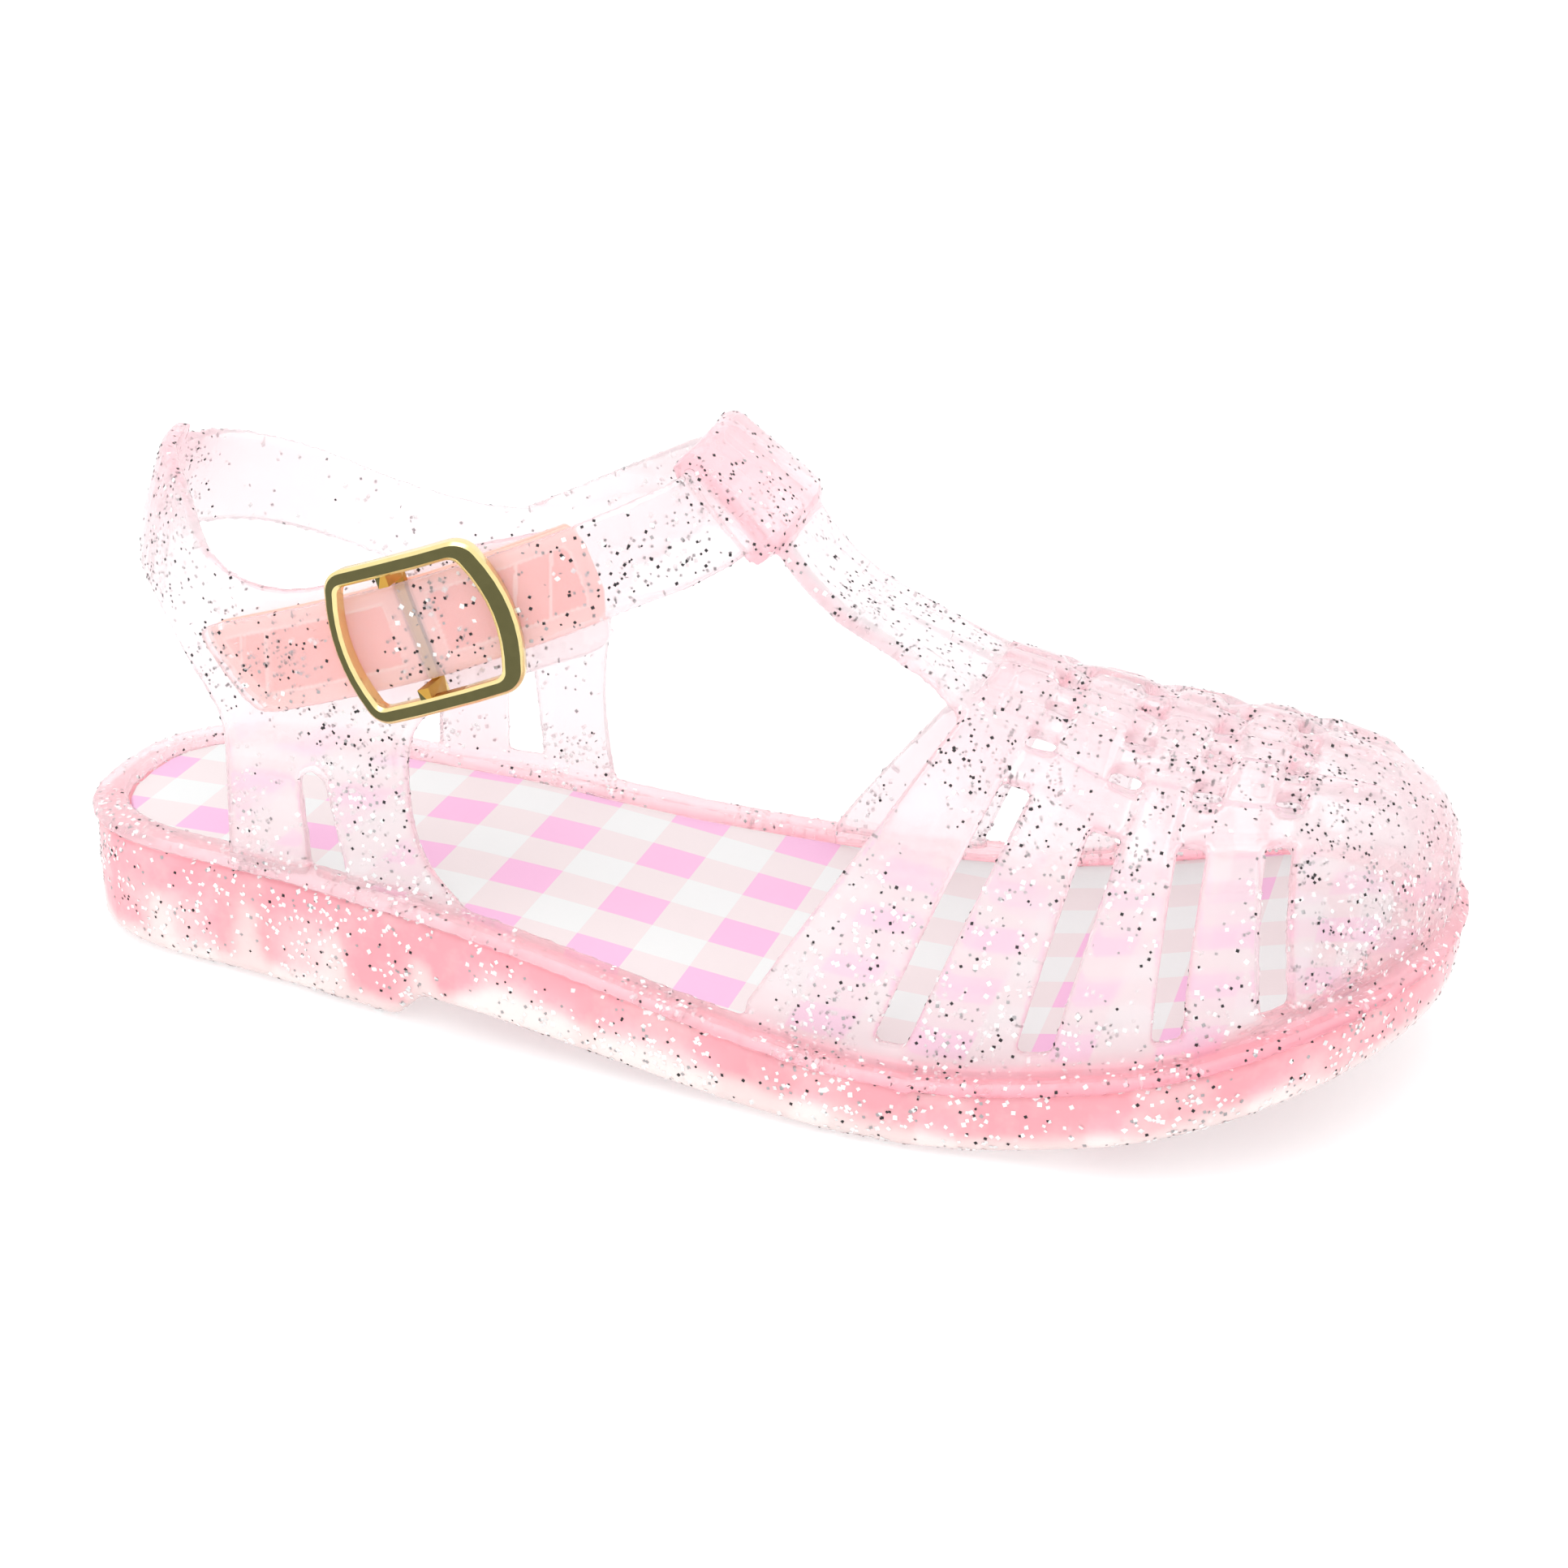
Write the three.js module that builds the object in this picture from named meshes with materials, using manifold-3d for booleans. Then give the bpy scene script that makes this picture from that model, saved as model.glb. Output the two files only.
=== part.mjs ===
// Child's jelly sandal, right foot: a moulded woven upper with a T-bar and an ankle strap,
// a ribbed outsole, a printed insole and a buckle.
// Millimetres. +X runs from heel to toe, +Y to the medial side, +Z up.
// The origin lies on the floor under the middle of the heel.
import * as THREE from 'three';
import { mergeVertices } from 'three/addons/utils/BufferGeometryUtils.js';
import Module from 'manifold-3d';

const wasm = await Module();
wasm.setup();

// Driving sizes of the sole
const length = 172;            // heel back to toe tip
const ballWidth = 71;          // widest, over the outsole
const heelRest = 26;           // from the heel back to the origin
const heelHeight = 15.9;       // top of the sole under the heel
const ballHeight = 9.1;        // top of the sole under the ball
const toeSpring = 10;          // lift of the toe tip off the floor
const archRise = 3.5;          // lift of the waist ahead of the heel block
const heelBlock = 50;          // length of the heel's tread
const breastRun = 3.5;         // length of the slope ahead of it
const heelCapLength = 25;      // length of the rounding of the heel
const skirt = 2.2;             // wall round the pockets under the sole
const plateDepth = 5.6;        // top of the sole to the roof of the pockets
const treadEdge = 1.1;         // chamfer along the tread's edge
const waistRib = 6;            // width of the rib along the waist

// Driving sizes of the insole and of the upper's rim
const seam = 0.3;              // clearance between pieces
const rimThickness = 1.6;
const rimLip = 0.6;            // the rim stands this far out over the sole's side
const insoleThickness = 2;
const insoleSink = 1;          // insole surface below the rim
const insoleSideInset = 5.2;
const insoleHeelInset = 4.4;
const insoleToeInset = 8.8;

// Driving sizes of the upper
const wall = 2.2;              // straps and toe cap
const stripRaise = 0.9;        // a strip stands this far over the one it crosses
const crownHeight = 51.5;      // top of the vamp where the T-bar meets it
const vampInset = 3;           // rim edge to the vamp's wall at the sides
const vampToeInset = 0.5;      // the same at the toe tip
const slotFoot = 1.7;          // solid band under the side slots
const bandTop = 61.5;          // top of the heel band over the floor
const quarterWall = 2;         // heel band, uprights and tab
const tBarHalfWidth = 8;
const tBarBead = 0.6;          // raised edges of the T-bar
const tBarBeadWidth = 2.3;

// Driving sizes of the ankle strap and its fastening
const strapWidth = 11.6;
const strapThickness = 1.8;
const loopHeight = 64.8;       // middle of the strap where it passes the T-bar's loop
const loopSlope = 39;          // degrees, of the T-bar where it carries the loop
const loopHalfSpan = 9.3;      // half of the loop's length along the strap
const loopWall = 1.4;
const patchThickness = 0.8;
const patchWidth = 11.2;
const buckleLength = 21.6;
const buckleHeight = 18.4;
const buckleBar = 1.9;         // width of the frame's bars
const buckleThickness = 1.8;
const buckleCorner = 2.9;
const buckleBow = 1.3;          // how far the short sides bow outwards
const centreBar = 1.3;         // width of the bar behind the strap
const centreBarShift = 2.0;    // its distance behind the middle of the frame
const centreBarThickness = 0.8;

const strapStack = 3 * seam + 2 * patchThickness;  // strap to tab, with both patches between

const lerp = THREE.MathUtils.lerp;
const smooth = THREE.MathUtils.smoothstep;
const clamp = THREE.MathUtils.clamp;

// A smooth curve through one column of a table whose first column is "at"
function along(rows, column, at) {
  const last = rows.length - 1;
  let i = 0;
  while (i < last - 1 && at > rows[i + 1].at) i += 1;
  const span = rows[i + 1].at - rows[i].at;
  const f = clamp((at - rows[i].at) / span, 0, 1);
  const slope = (k) => {
    const a = rows[Math.max(k - 1, 0)];
    const b = rows[Math.min(k + 1, last)];
    return (b[column] - a[column]) / (b.at - a.at);
  };
  const p0 = rows[i][column];
  const p1 = rows[i + 1][column];
  const m0 = slope(i) * span;
  const m1 = slope(i + 1) * span;
  const f2 = f * f;
  const f3 = f2 * f;
  return (2 * f3 - 3 * f2 + 1) * p0 + (f3 - 2 * f2 + f) * m0 + (3 * f2 - 2 * f3) * p1 + (f3 - f2) * m1;
}

// Plan of the sole: at is a share of the length, the sides are shares of the ball width
const plan = [
  { at: 0.00, lateral: -0.280, medial: 0.338 },
  { at: 0.14, lateral: -0.287, medial: 0.342 },
  { at: 0.28, lateral: -0.356, medial: 0.322 },
  { at: 0.40, lateral: -0.408, medial: 0.322 },
  { at: 0.52, lateral: -0.455, medial: 0.385 },
  { at: 0.64, lateral: -0.497, medial: 0.462 },
  { at: 0.74, lateral: -0.488, medial: 0.503 },
  { at: 0.86, lateral: -0.484, medial: 0.508 },
  { at: 1.00, lateral: -0.480, medial: 0.500 },
];
const heelTip = 0.04;          // where the heel's back and the toe's tip lie across, share of the ball width
const toeTip = 0.17;
const heelRoundness = 2.5;
const toeCaps = {
  lateral: { at: 0.797, roundness: 1.9 },
  medial: { at: 0.815, roundness: 2.2 },
};

// Quarter of a rounded end: 1 at the start of the cap, 0 at its tip
function roundEnd(share, roundness) {
  return Math.pow(Math.max(0, 1 - Math.pow(clamp(share, 0, 1), roundness)), 1 / roundness);
}

// Edge of the plan at x, moved in by three insets: along the sides, at the heel and at the toe
function edge(x, side, inset = { side: 0, heel: 0, toe: 0 }) {
  const inward = side === 'lateral' ? inset.side : -inset.side;
  const y = along(plan, side, x / length) * ballWidth + inward;
  if (x < heelCapLength) {
    const share = (heelCapLength - x) / (heelCapLength - inset.heel);
    return lerp(heelTip * ballWidth, y, roundEnd(share, heelRoundness));
  }
  const capAt = toeCaps[side].at * length;
  if (x > capAt) {
    const share = (x - capAt) / (length - inset.toe - capAt);
    return lerp(toeTip * ballWidth, y, roundEnd(share, toeCaps[side].roundness));
  }
  return y;
}

// Heights of the sole's top and bottom along the foot
const archEnd = 0.61 * length;   // the forefoot lies flat on the floor from here
const toeBreak = 0.67 * length;  // to here
function springAt(x) {
  return toeSpring * smooth(x, toeBreak, length);
}
function soleTop(x) {
  return lerp(heelHeight, ballHeight, smooth(x, 0.26 * length, 0.67 * length)) + springAt(x);
}
function soleBottom(x) {
  const arch = archRise * (1 - smooth(x, heelBlock + breastRun, archEnd));
  return arch * smooth(x, heelBlock, heelBlock + breastRun) + springAt(x);
}

// Stations along the foot, closer together where the plan turns
const stations = [];
const heelSteps = 8;
const toeSteps = 10;
const toeCapStart = toeCaps.lateral.at * length;
for (let i = 0; i <= heelSteps; i += 1) {
  stations.push(heelCapLength * (1 - Math.cos(i / heelSteps * Math.PI / 2)));
}
for (const x of [0.2 * length, 0.25 * length, heelBlock, heelBlock + breastRun]) stations.push(x);
for (let i = 0; i <= 4; i += 1) stations.push(lerp(0.37 * length, archEnd, i / 4));
for (let i = 0; i <= 2; i += 1) stations.push(lerp(toeBreak, toeCapStart, i / 3));
for (let i = 0; i <= toeSteps; i += 1) {
  stations.push(lerp(toeCapStart, length, Math.sin(i / toeSteps * Math.PI / 2)));
}

// The x of a station on a loop that is moved in: only the rounded ends shift
function shifted(x, inset) {
  const heelShare = clamp(1 - x / heelCapLength, 0, 1);
  const toeShare = clamp((x - toeCapStart) / (length - toeCapStart), 0, 1);
  return x + inset.heel * heelShare - inset.toe * toeShare;
}

// One closed loop round the foot: up the lateral side, back down the medial side
function footLoop(inset, height) {
  const lateral = [];
  const medial = [];
  for (const station of stations) {
    const x = shifted(station, inset);
    lateral.push(new THREE.Vector3(x, edge(x, 'lateral', inset), height(x)));
    medial.push(new THREE.Vector3(x, edge(x, 'medial', inset), height(x)));
  }
  return lateral.concat(medial.reverse());
}

// Collects triangles and gives a closed solid
class Skin {
  constructor() {
    this.points = [];
  }

  triangle(a, b, c) {
    this.points.push(a.x, a.y, a.z, b.x, b.y, b.z, c.x, c.y, c.z);
  }

  quad(a, b, c, d) {
    this.triangle(a, b, c);
    this.triangle(a, c, d);
  }

  solid() {
    const geometry = new THREE.BufferGeometry();
    geometry.setAttribute('position', new THREE.Float32BufferAttribute(this.points, 3));
    return solidFrom(geometry);
  }
}

function solidFrom(geometry) {
  const bare = geometry.index ? geometry.toNonIndexed() : geometry.clone();
  bare.deleteAttribute('normal');
  bare.deleteAttribute('uv');
  const merged = mergeVertices(bare, 1e-4);
  const index = merged.index.array;
  const triVerts = [];
  for (let i = 0; i < index.length; i += 3) {
    const [a, b, c] = [index[i], index[i + 1], index[i + 2]];
    if (a !== b && b !== c && c !== a) triVerts.push(a, b, c);
  }
  const mesh = new wasm.Mesh({
    numProp: 3,
    vertProperties: new Float32Array(merged.attributes.position.array),
    triVerts: new Uint32Array(triVerts),
  });
  const solid = new wasm.Manifold(mesh);
  if (solid.status() !== 'NoError') throw new Error(`open mesh: ${solid.status()}`);
  return solid;
}

function geometryFrom(solid) {
  const mesh = solid.getMesh();
  const geometry = new THREE.BufferGeometry();
  geometry.setAttribute('position', new THREE.BufferAttribute(mesh.vertProperties, 3));
  geometry.setIndex(new THREE.BufferAttribute(mesh.triVerts, 1));
  geometry.computeVertexNormals();
  return geometry;
}

// A solid between foot loops, from the inside of its top to the inside of its bottom
function loftLoops(loops) {
  const skin = new Skin();
  const count = loops[0].length;
  for (let k = 0; k < loops.length - 1; k += 1) {
    for (let i = 0; i < count; i += 1) {
      const j = (i + 1) % count;
      skin.quad(loops[k][i], loops[k + 1][i], loops[k + 1][j], loops[k][j]);
    }
  }
  const top = loops[0];
  const bottom = loops[loops.length - 1];
  for (let i = 0; i < count / 2 - 1; i += 1) {
    const far = count - 1 - i;
    skin.quad(top[i], top[i + 1], top[far - 1], top[far]);
    skin.quad(bottom[far], bottom[far - 1], bottom[i + 1], bottom[i]);
  }
  return skin.solid();
}

// A ring between foot loops, whose last loop joins the first
function loftRing(loops) {
  const skin = new Skin();
  const count = loops[0].length;
  for (let k = 0; k < loops.length; k += 1) {
    const next = loops[(k + 1) % loops.length];
    for (let i = 0; i < count; i += 1) {
      const j = (i + 1) % count;
      skin.quad(loops[k][i], next[i], next[j], loops[k][j]);
    }
  }
  return skin.solid();
}

// A walled sheet from a grid of outer and inner points; cells that are not solid stay open
function sheet(outer, inner, isSolid = () => true) {
  const skin = new Skin();
  const rows = outer.length - 1;
  const columns = outer[0].length - 1;
  const solidAt = (i, j) => i >= 0 && j >= 0 && i < rows && j < columns && isSolid(i, j);
  for (let i = 0; i < rows; i += 1) {
    for (let j = 0; j < columns; j += 1) {
      if (!solidAt(i, j)) continue;
      const [a, b, c, d] = [outer[i][j], outer[i + 1][j], outer[i + 1][j + 1], outer[i][j + 1]];
      const [e, f, g, h] = [inner[i][j], inner[i + 1][j], inner[i + 1][j + 1], inner[i][j + 1]];
      skin.quad(a, b, c, d);
      skin.quad(h, g, f, e);
      if (!solidAt(i - 1, j)) skin.quad(d, h, e, a);
      if (!solidAt(i + 1, j)) skin.quad(b, f, g, c);
      if (!solidAt(i, j - 1)) skin.quad(a, e, f, b);
      if (!solidAt(i, j + 1)) skin.quad(c, g, h, d);
    }
  }
  return skin.solid();
}

// Outsole
const insoleInset = { side: insoleSideInset, heel: insoleHeelInset, toe: insoleToeInset };
const recessInset = {
  side: insoleSideInset - seam,
  heel: insoleHeelInset - seam,
  toe: insoleToeInset - seam,
};
const evenly = (inset) => ({ side: inset, heel: inset, toe: inset });
const ledge = (x) => soleTop(x) - rimThickness - seam;
const insoleBottom = (x) => soleTop(x) - insoleSink - insoleThickness;

function makeOutsole() {
  const body = loftLoops([
    footLoop(recessInset, (x) => insoleBottom(x) - seam),
    footLoop(recessInset, ledge),
    footLoop(evenly(rimLip), ledge),
    footLoop(evenly(rimLip), (x) => lerp(soleBottom(x), ledge(x), 0.45)),
    footLoop(evenly(rimLip + 0.3), (x) => soleBottom(x) + treadEdge),
    footLoop(evenly(rimLip + 0.3 + treadEdge), soleBottom),
  ]);
  return pockets.reduce((solid, pocket) => solid.subtract(makePocket(pocket)), body);
}

// Pockets under the sole, left and right of them and between them the ribs stay: shares of the length
const pockets = [
  { from: 0.090, to: 0.136 },
  { from: 0.182, to: 0.234 },
  { from: 0.336, to: 0.432, rib: true },
  { from: 0.446, to: 0.538, rib: true },
  { from: 0.590, to: 0.618 },
  { from: 0.674, to: 0.703 },
  { from: 0.785, to: 0.814 },
  { from: 0.878, to: 0.905 },
];

function makePocket({ from, to, rib }) {
  const inset = evenly(rimLip + 0.3 + skirt);
  const steps = 4;
  const middle = (x) => (edge(x, 'lateral', inset) + edge(x, 'medial', inset)) / 2;
  const slice = (x, left, right) => {
    const roof = soleTop(x) - plateDepth;
    const floor = soleBottom(x) - treadEdge;
    return [[left, floor], [right, floor], [right, roof], [left, roof]]
      .map(([y, z]) => new THREE.Vector3(x, y, z));
  };
  const bore = (bounds) => {
    const skin = new Skin();
    const slices = [];
    for (let i = 0; i <= steps; i += 1) {
      const x = lerp(from, to, i / steps) * length;
      slices.push(slice(x, ...bounds(x)));
    }
    for (let i = 0; i < steps; i += 1) {
      for (let k = 0; k < 4; k += 1) {
        const n = (k + 1) % 4;
        skin.quad(slices[i][k], slices[i][n], slices[i + 1][n], slices[i + 1][k]);
      }
    }
    skin.quad(slices[0][3], slices[0][2], slices[0][1], slices[0][0]);
    skin.quad(slices[steps][0], slices[steps][1], slices[steps][2], slices[steps][3]);
    return skin.solid();
  };
  const lateral = (x) => edge(x, 'lateral', inset);
  const medial = (x) => edge(x, 'medial', inset);
  if (!rib) return bore((x) => [lateral(x), medial(x)]);
  return bore((x) => [lateral(x), middle(x) - waistRib / 2])
    .add(bore((x) => [middle(x) + waistRib / 2, medial(x)]));
}

// Insole
function makeInsole() {
  return loftLoops([
    footLoop(insoleInset, (x) => soleTop(x) - insoleSink),
    footLoop(insoleInset, insoleBottom),
  ]);
}

// Rim of the upper, a lip round the whole foot that the straps and uprights grow from
function makeRim() {
  const top = (x) => soleTop(x);
  const bottom = (x) => soleTop(x) - rimThickness;
  const upperEdge = 0.5;
  return loftRing([
    footLoop(recessInset, top),
    footLoop(evenly(upperEdge), top),
    footLoop(evenly(0), (x) => top(x) - upperEdge),
    footLoop(evenly(0), bottom),
    footLoop(recessInset, bottom),
  ]);
}

// Vamp: its crown along the foot (share of the length, share of the crown height) and how round it is
const vampCrown = [
  { at: 0.50, up: 1.115, roundness: 1.60 },
  { at: 0.61, up: 1.000, roundness: 1.60 },
  { at: 0.67, up: 0.946, roundness: 1.65 },
  { at: 0.73, up: 0.898, roundness: 1.75 },
  { at: 0.79, up: 0.857, roundness: 1.90 },
  { at: 0.85, up: 0.828, roundness: 2.02 },
  { at: 0.90, up: 0.802, roundness: 2.15 },
  { at: 1.00, up: 0.760, roundness: 2.40 },
];
const vampEdge = { side: vampInset, heel: 0, toe: vampToeInset };
const toeDomeAt = 0.85 * length;
const toeDomeRoundness = 3;
const sectionRoundness = 1.9;

// Share of the crown's height at t, which runs from -1 at the lateral rim to 1 at the medial rim
function archShare(t, roundness) {
  return Math.pow(Math.max(0, 1 - Math.pow(Math.min(1, Math.abs(t)), roundness)), 1 / sectionRoundness);
}

// Height of the vamp's crown over the rim
function vampRise(x) {
  const share = (x - toeDomeAt) / (length - vampToeInset - toeDomeAt);
  const crown = along(vampCrown, 'up', x / length) * crownHeight;
  return (crown - soleTop(x)) * roundEnd(share, toeDomeRoundness);
}

// A point of the vamp's outer face
function vampPoint(x, t) {
  const lateral = edge(x, 'lateral', vampEdge);
  const medial = edge(x, 'medial', vampEdge);
  const y = lerp(lateral, medial, (t + 1) / 2);
  const z = soleTop(x) + vampRise(x) * archShare(t, along(vampCrown, 'roundness', x / length));
  return new THREE.Vector3(x, y, z);
}

// The same, moved in by a depth square to the face
function vampInside(x, t, depth) {
  const dx = Math.min(0.4, (length - vampToeInset - x) / 3);
  const dt = Math.min(0.01, (1 - Math.abs(t)) / 3);
  const forward = vampPoint(x + dx, t).sub(vampPoint(x - dx, t));
  const across = vampPoint(x, t + dt).sub(vampPoint(x, t - dt));
  const normal = forward.cross(across).normalize();
  return vampPoint(x, t).addScaledVector(normal, -depth);
}

// Strips run along the foot, numbered from the crown outwards: shares of the half girth
const strips = [
  { from: 0.000, to: 0.060 },
  { from: 0.120, to: 0.240 },
  { from: 0.300, to: 0.410 },
  { from: 0.490, to: 0.640 },
];
const slotTop = strips[strips.length - 1].to;
const bevelShare = 0.018;

// Edges of the straps that run across it, two rows each: their places at the crown, at the slots' tops
// and at the two rims. Fan narrows the strips towards the T-bar
const strapEdges = [
  { crown: 0.6800, shoulder: 0.6560, lateral: 0.5510, medial: 0.5290, fan: 0.78 },
  { crown: 0.7186, shoulder: 0.7012, lateral: 0.6410, medial: 0.6360, fan: 0.84 },
  { crown: 0.7384, shoulder: 0.7215, lateral: 0.6640, medial: 0.6600, fan: 0.86 },
  { crown: 0.7727, shoulder: 0.7616, lateral: 0.7350, medial: 0.7330, fan: 0.98 },
  { crown: 0.7924, shoulder: 0.7837, lateral: 0.7580, medial: 0.7570, fan: 1.00 },
  { crown: 0.8238, shoulder: 0.8198, lateral: 0.8227, medial: 0.8220, fan: 1.00 },
  { crown: 0.8436, shoulder: 0.8384, lateral: 0.8430, medial: 0.8420, fan: 1.00 },
  { crown: 0.8750, shoulder: 0.8750, lateral: 0.8895, medial: 0.8890, fan: 1.00 },
];
const toeCapRows = [
  { crown: 0.8942, shoulder: 0.8930, rim: 0.9093, fan: 0.98 },
  { crown: 0.9000, shoulder: 0.8990, rim: 0.9150, fan: 0.98 },
  { crown: 0.9330, shoulder: 0.9300, rim: 0.9370, fan: 0.95 },
  { crown: 0.9500, shoulder: 0.9480, rim: 0.9520, fan: 0.95 },
  { crown: 0.9660, shoulder: 0.9660, rim: 0.9670, fan: 0.95 },
  { crown: 0.9790, shoulder: 0.9790, rim: 0.9790, fan: 0.95 },
  { crown: 0.9890, shoulder: 0.9890, rim: 0.9890, fan: 0.95 },
  { crown: 0.9945, shoulder: 0.9945, rim: 0.9945, fan: 0.95 },
];

// Grid lines over the girth, each with the strip it belongs to
function girthLines() {
  const half = [];
  strips.forEach((strip, k) => {
    if (k > 0) half.push({ t: strip.from, strip: k, border: true });
    if (k > 0) half.push({ t: strip.from + bevelShare, strip: k });
    half.push({ t: strip.to - bevelShare, strip: k });
    half.push({ t: strip.to, strip: k, border: true });
  });
  for (const down of [0.2, 0.4, 0.6, 0.8, 1]) half.push({ t: slotTop, down });
  half.push({ t: 1, foot: true });
  const mirrored = half.map((line) => ({ ...line, t: -line.t })).reverse();
  return mirrored.concat(half);
}

// Place over the girth where a girth line meets the section at x
function girthAt(column, x, fan) {
  const roundness = along(vampCrown, 'roundness', x / length);
  if (column.down === undefined) return column.t * fan;
  const foot = slotFoot / Math.max(vampRise(x), 2 * slotFoot);
  const height = lerp(archShare(slotTop * fan, roundness), foot, column.down);
  return Math.sign(column.t) * Math.pow(1 - Math.pow(height, sectionRoundness), 1 / roundness);
}

// Grid lines over the length, each with the strap it belongs to
function lengthLines() {
  const lines = [];
  const bevel = 0.0045;
  for (let j = 0; j < strapEdges.length / 2; j += 1) {
    const [rear, front] = strapEdges.slice(2 * j, 2 * j + 2);
    const line = (share, extra) => {
      const places = {};
      for (const column of Object.keys(rear)) places[column] = lerp(rear[column], front[column], share);
      lines.push({ strap: j, ...places, ...extra });
    };
    const width = front.crown - rear.crown;
    line(0, { border: true });
    line(bevel / width, {});
    if (j === 0) line(0.5, {});
    line(1 - bevel / width, {});
    line(1, { border: true });
  }
  toeCapRows.forEach((row, j) => {
    lines.push({ cap: j, ...row, lateral: row.rim, medial: row.rim });
  });
  lines.push({ cap: toeCapRows.length, tip: true });
  return lines;
}

// Where a line over the length crosses a line over the girth
function lineAt(line, column) {
  if (line.tip) return length - vampToeInset;
  if (column.foot) return (column.t < 0 ? line.lateral : line.medial) * length;
  if (column.down !== undefined) {
    return lerp(line.shoulder, column.t < 0 ? line.lateral : line.medial, column.down) * length;
  }
  return lerp(line.crown, line.shoulder, (column.t / slotTop) ** 2) * length;
}

// A strip passes over every second strap, and its neighbours over the others
const stripIsOver = (strip, strap) => (strip + strap) % 2 === 0;

function raiseAt(girth, line) {
  if (girth.strip === undefined) return 0;
  if (line.cap !== undefined) return line.cap < 3 && girth.strip % 2 === 0 && !girth.border ? 1 : 0;
  if (stripIsOver(girth.strip, line.strap)) return girth.border ? 0 : 1;
  return line.border ? 0 : 1;
}

function makeVamp() {
  const girth = girthLines();
  const lines = lengthLines();
  const outer = [];
  const inner = [];
  for (const line of lines) {
    const outerRow = [];
    const innerRow = [];
    for (const column of girth) {
      const x = lineAt(line, column);
      const low = soleTop(x) - rimThickness / 2;
      if (line.tip) {
        outerRow.push(new THREE.Vector3(x - stripRaise, toeTip * ballWidth, low));
        innerRow.push(new THREE.Vector3(x - stripRaise - wall, toeTip * ballWidth, low));
      } else if (column.foot) {
        const t = girthAt({ t: column.t, down: 1 }, x, line.fan);
        outerRow.push(vampInside(x, t, stripRaise).setZ(low));
        innerRow.push(vampInside(x, t, stripRaise + wall).setZ(low));
      } else {
        const t = girthAt(column, x, line.fan);
        outerRow.push(vampInside(x, t, stripRaise * (1 - raiseAt(column, line))));
        innerRow.push(vampInside(x, t, stripRaise + wall));
      }
    }
    outer.push(outerRow);
    inner.push(innerRow);
  }
  // Gaps of the weave lie between straps and between strips; slots lie below the last strip
  const isSolid = (i, j) => {
    const betweenStraps = lines[i].border && lines[i + 1].strap !== lines[i].strap
      && (lines[i + 1].border || lines[i + 1].cap === 0);
    if (!betweenStraps) return true;
    const [a, b] = [girth[j], girth[j + 1]];
    if (a.foot || b.foot) return true;
    const sameStrip = a.strip !== undefined && a.strip === b.strip && Math.sign(a.t * b.t) >= 0;
    const crownStrip = a.strip === 0 && b.strip === 0;
    return sameStrip || crownStrip;
  };
  return sheet(outer, inner, isSolid);
}

// T-bar from the loop down to the vamp's first strap: centre of its outer face, from the vamp's height at 0
// to the loop's at 1, and how it widens
const tBarRows = [
  { at: 0.5320, up: 0.795, half: 0.98, arch: 0.0 },
  { at: 0.5420, up: 0.693, half: 0.97, arch: 0.3 },
  { at: 0.5520, up: 0.587, half: 0.98, arch: 0.5 },
  { at: 0.5630, up: 0.495, half: 0.98, arch: 0.6 },
  { at: 0.5770, up: 0.397, half: 1.00, arch: 0.7 },
  { at: 0.5950, up: 0.318, half: 1.02, arch: 0.9 },
  { at: 0.6180, up: 0.233, half: 1.05, arch: 1.3 },
  { at: 0.6420, up: 0.151, half: 1.12, arch: 1.9 },
  { at: 0.6600, up: 0.093, half: 1.34, arch: 2.9 },
  { at: 0.6730, up: 0.056, half: 1.70, arch: 4.4 },
  { at: 0.6900, up: 0.001, half: 2.00, arch: 5.6 },
];
const tBarFoot = 0.905 * crownHeight;

function makeTBar() {
  const outer = [];
  const inner = [];
  tBarRows.forEach((row, k) => {
    const before = tBarRows[Math.max(k - 1, 0)];
    const after = tBarRows[Math.min(k + 1, tBarRows.length - 1)];
    const forward = (after.at - before.at) * length;
    const rise = (after.up - before.up) * (loopHeight - tBarFoot);
    const normal = new THREE.Vector3(-rise, 0, forward).normalize();
    const half = row.half * tBarHalfWidth;
    const bead = 1 - tBarBeadWidth / half;
    const isPanel = k > 1 && k < tBarRows.length - 1;
    const outerRow = [];
    const innerRow = [];
    for (const share of [-1, -0.96, -bead, -bead + 0.08, 0, bead - 0.08, bead, 0.96, 1]) {
      const size = Math.abs(share);
      const recess = isPanel && size < bead - 0.01 ? tBarBead : 0;
      const round = size > 0.99 ? 0.5 : 0;
      const drop = row.arch * size * size;
      const height = lerp(tBarFoot, loopHeight, row.up) - drop;
      const point = new THREE.Vector3(row.at * length, share * half, height);
      outerRow.push(point.clone().addScaledVector(normal, -recess - round));
      innerRow.push(point.addScaledVector(normal, -wall));
    }
    outer.push(outerRow);
    inner.push(innerRow);
  });
  return sheet(outer, inner);
}

// Heel band, uprights and tab stand on this plan: shares of the length and of the ball width
const shellPlan = [
  { at: 0.157, lateral: -0.296, medial: 0.310 },
  { at: 0.209, lateral: -0.314, medial: 0.328 },
  { at: 0.262, lateral: -0.327, medial: 0.338 },
  { at: 0.331, lateral: -0.337, medial: 0.336 },
  { at: 0.390, lateral: -0.313, medial: 0.295 },
  { at: 0.448, lateral: -0.232, medial: 0.215 },
];
const heelLean = 3.4;          // the top of the heel band leans this far forward
const shellBack = 7.5;
const shellCapLength = 19.5;
const shellTip = 0.014;
const shellRoundness = 1.75;

function shellY(x, side) {
  const y = along(shellPlan, side, x / length) * ballWidth;
  const share = (shellBack + shellCapLength - x) / shellCapLength;
  return share <= 0 ? y : lerp(shellTip * ballWidth, y, roundEnd(share, shellRoundness));
}

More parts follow.
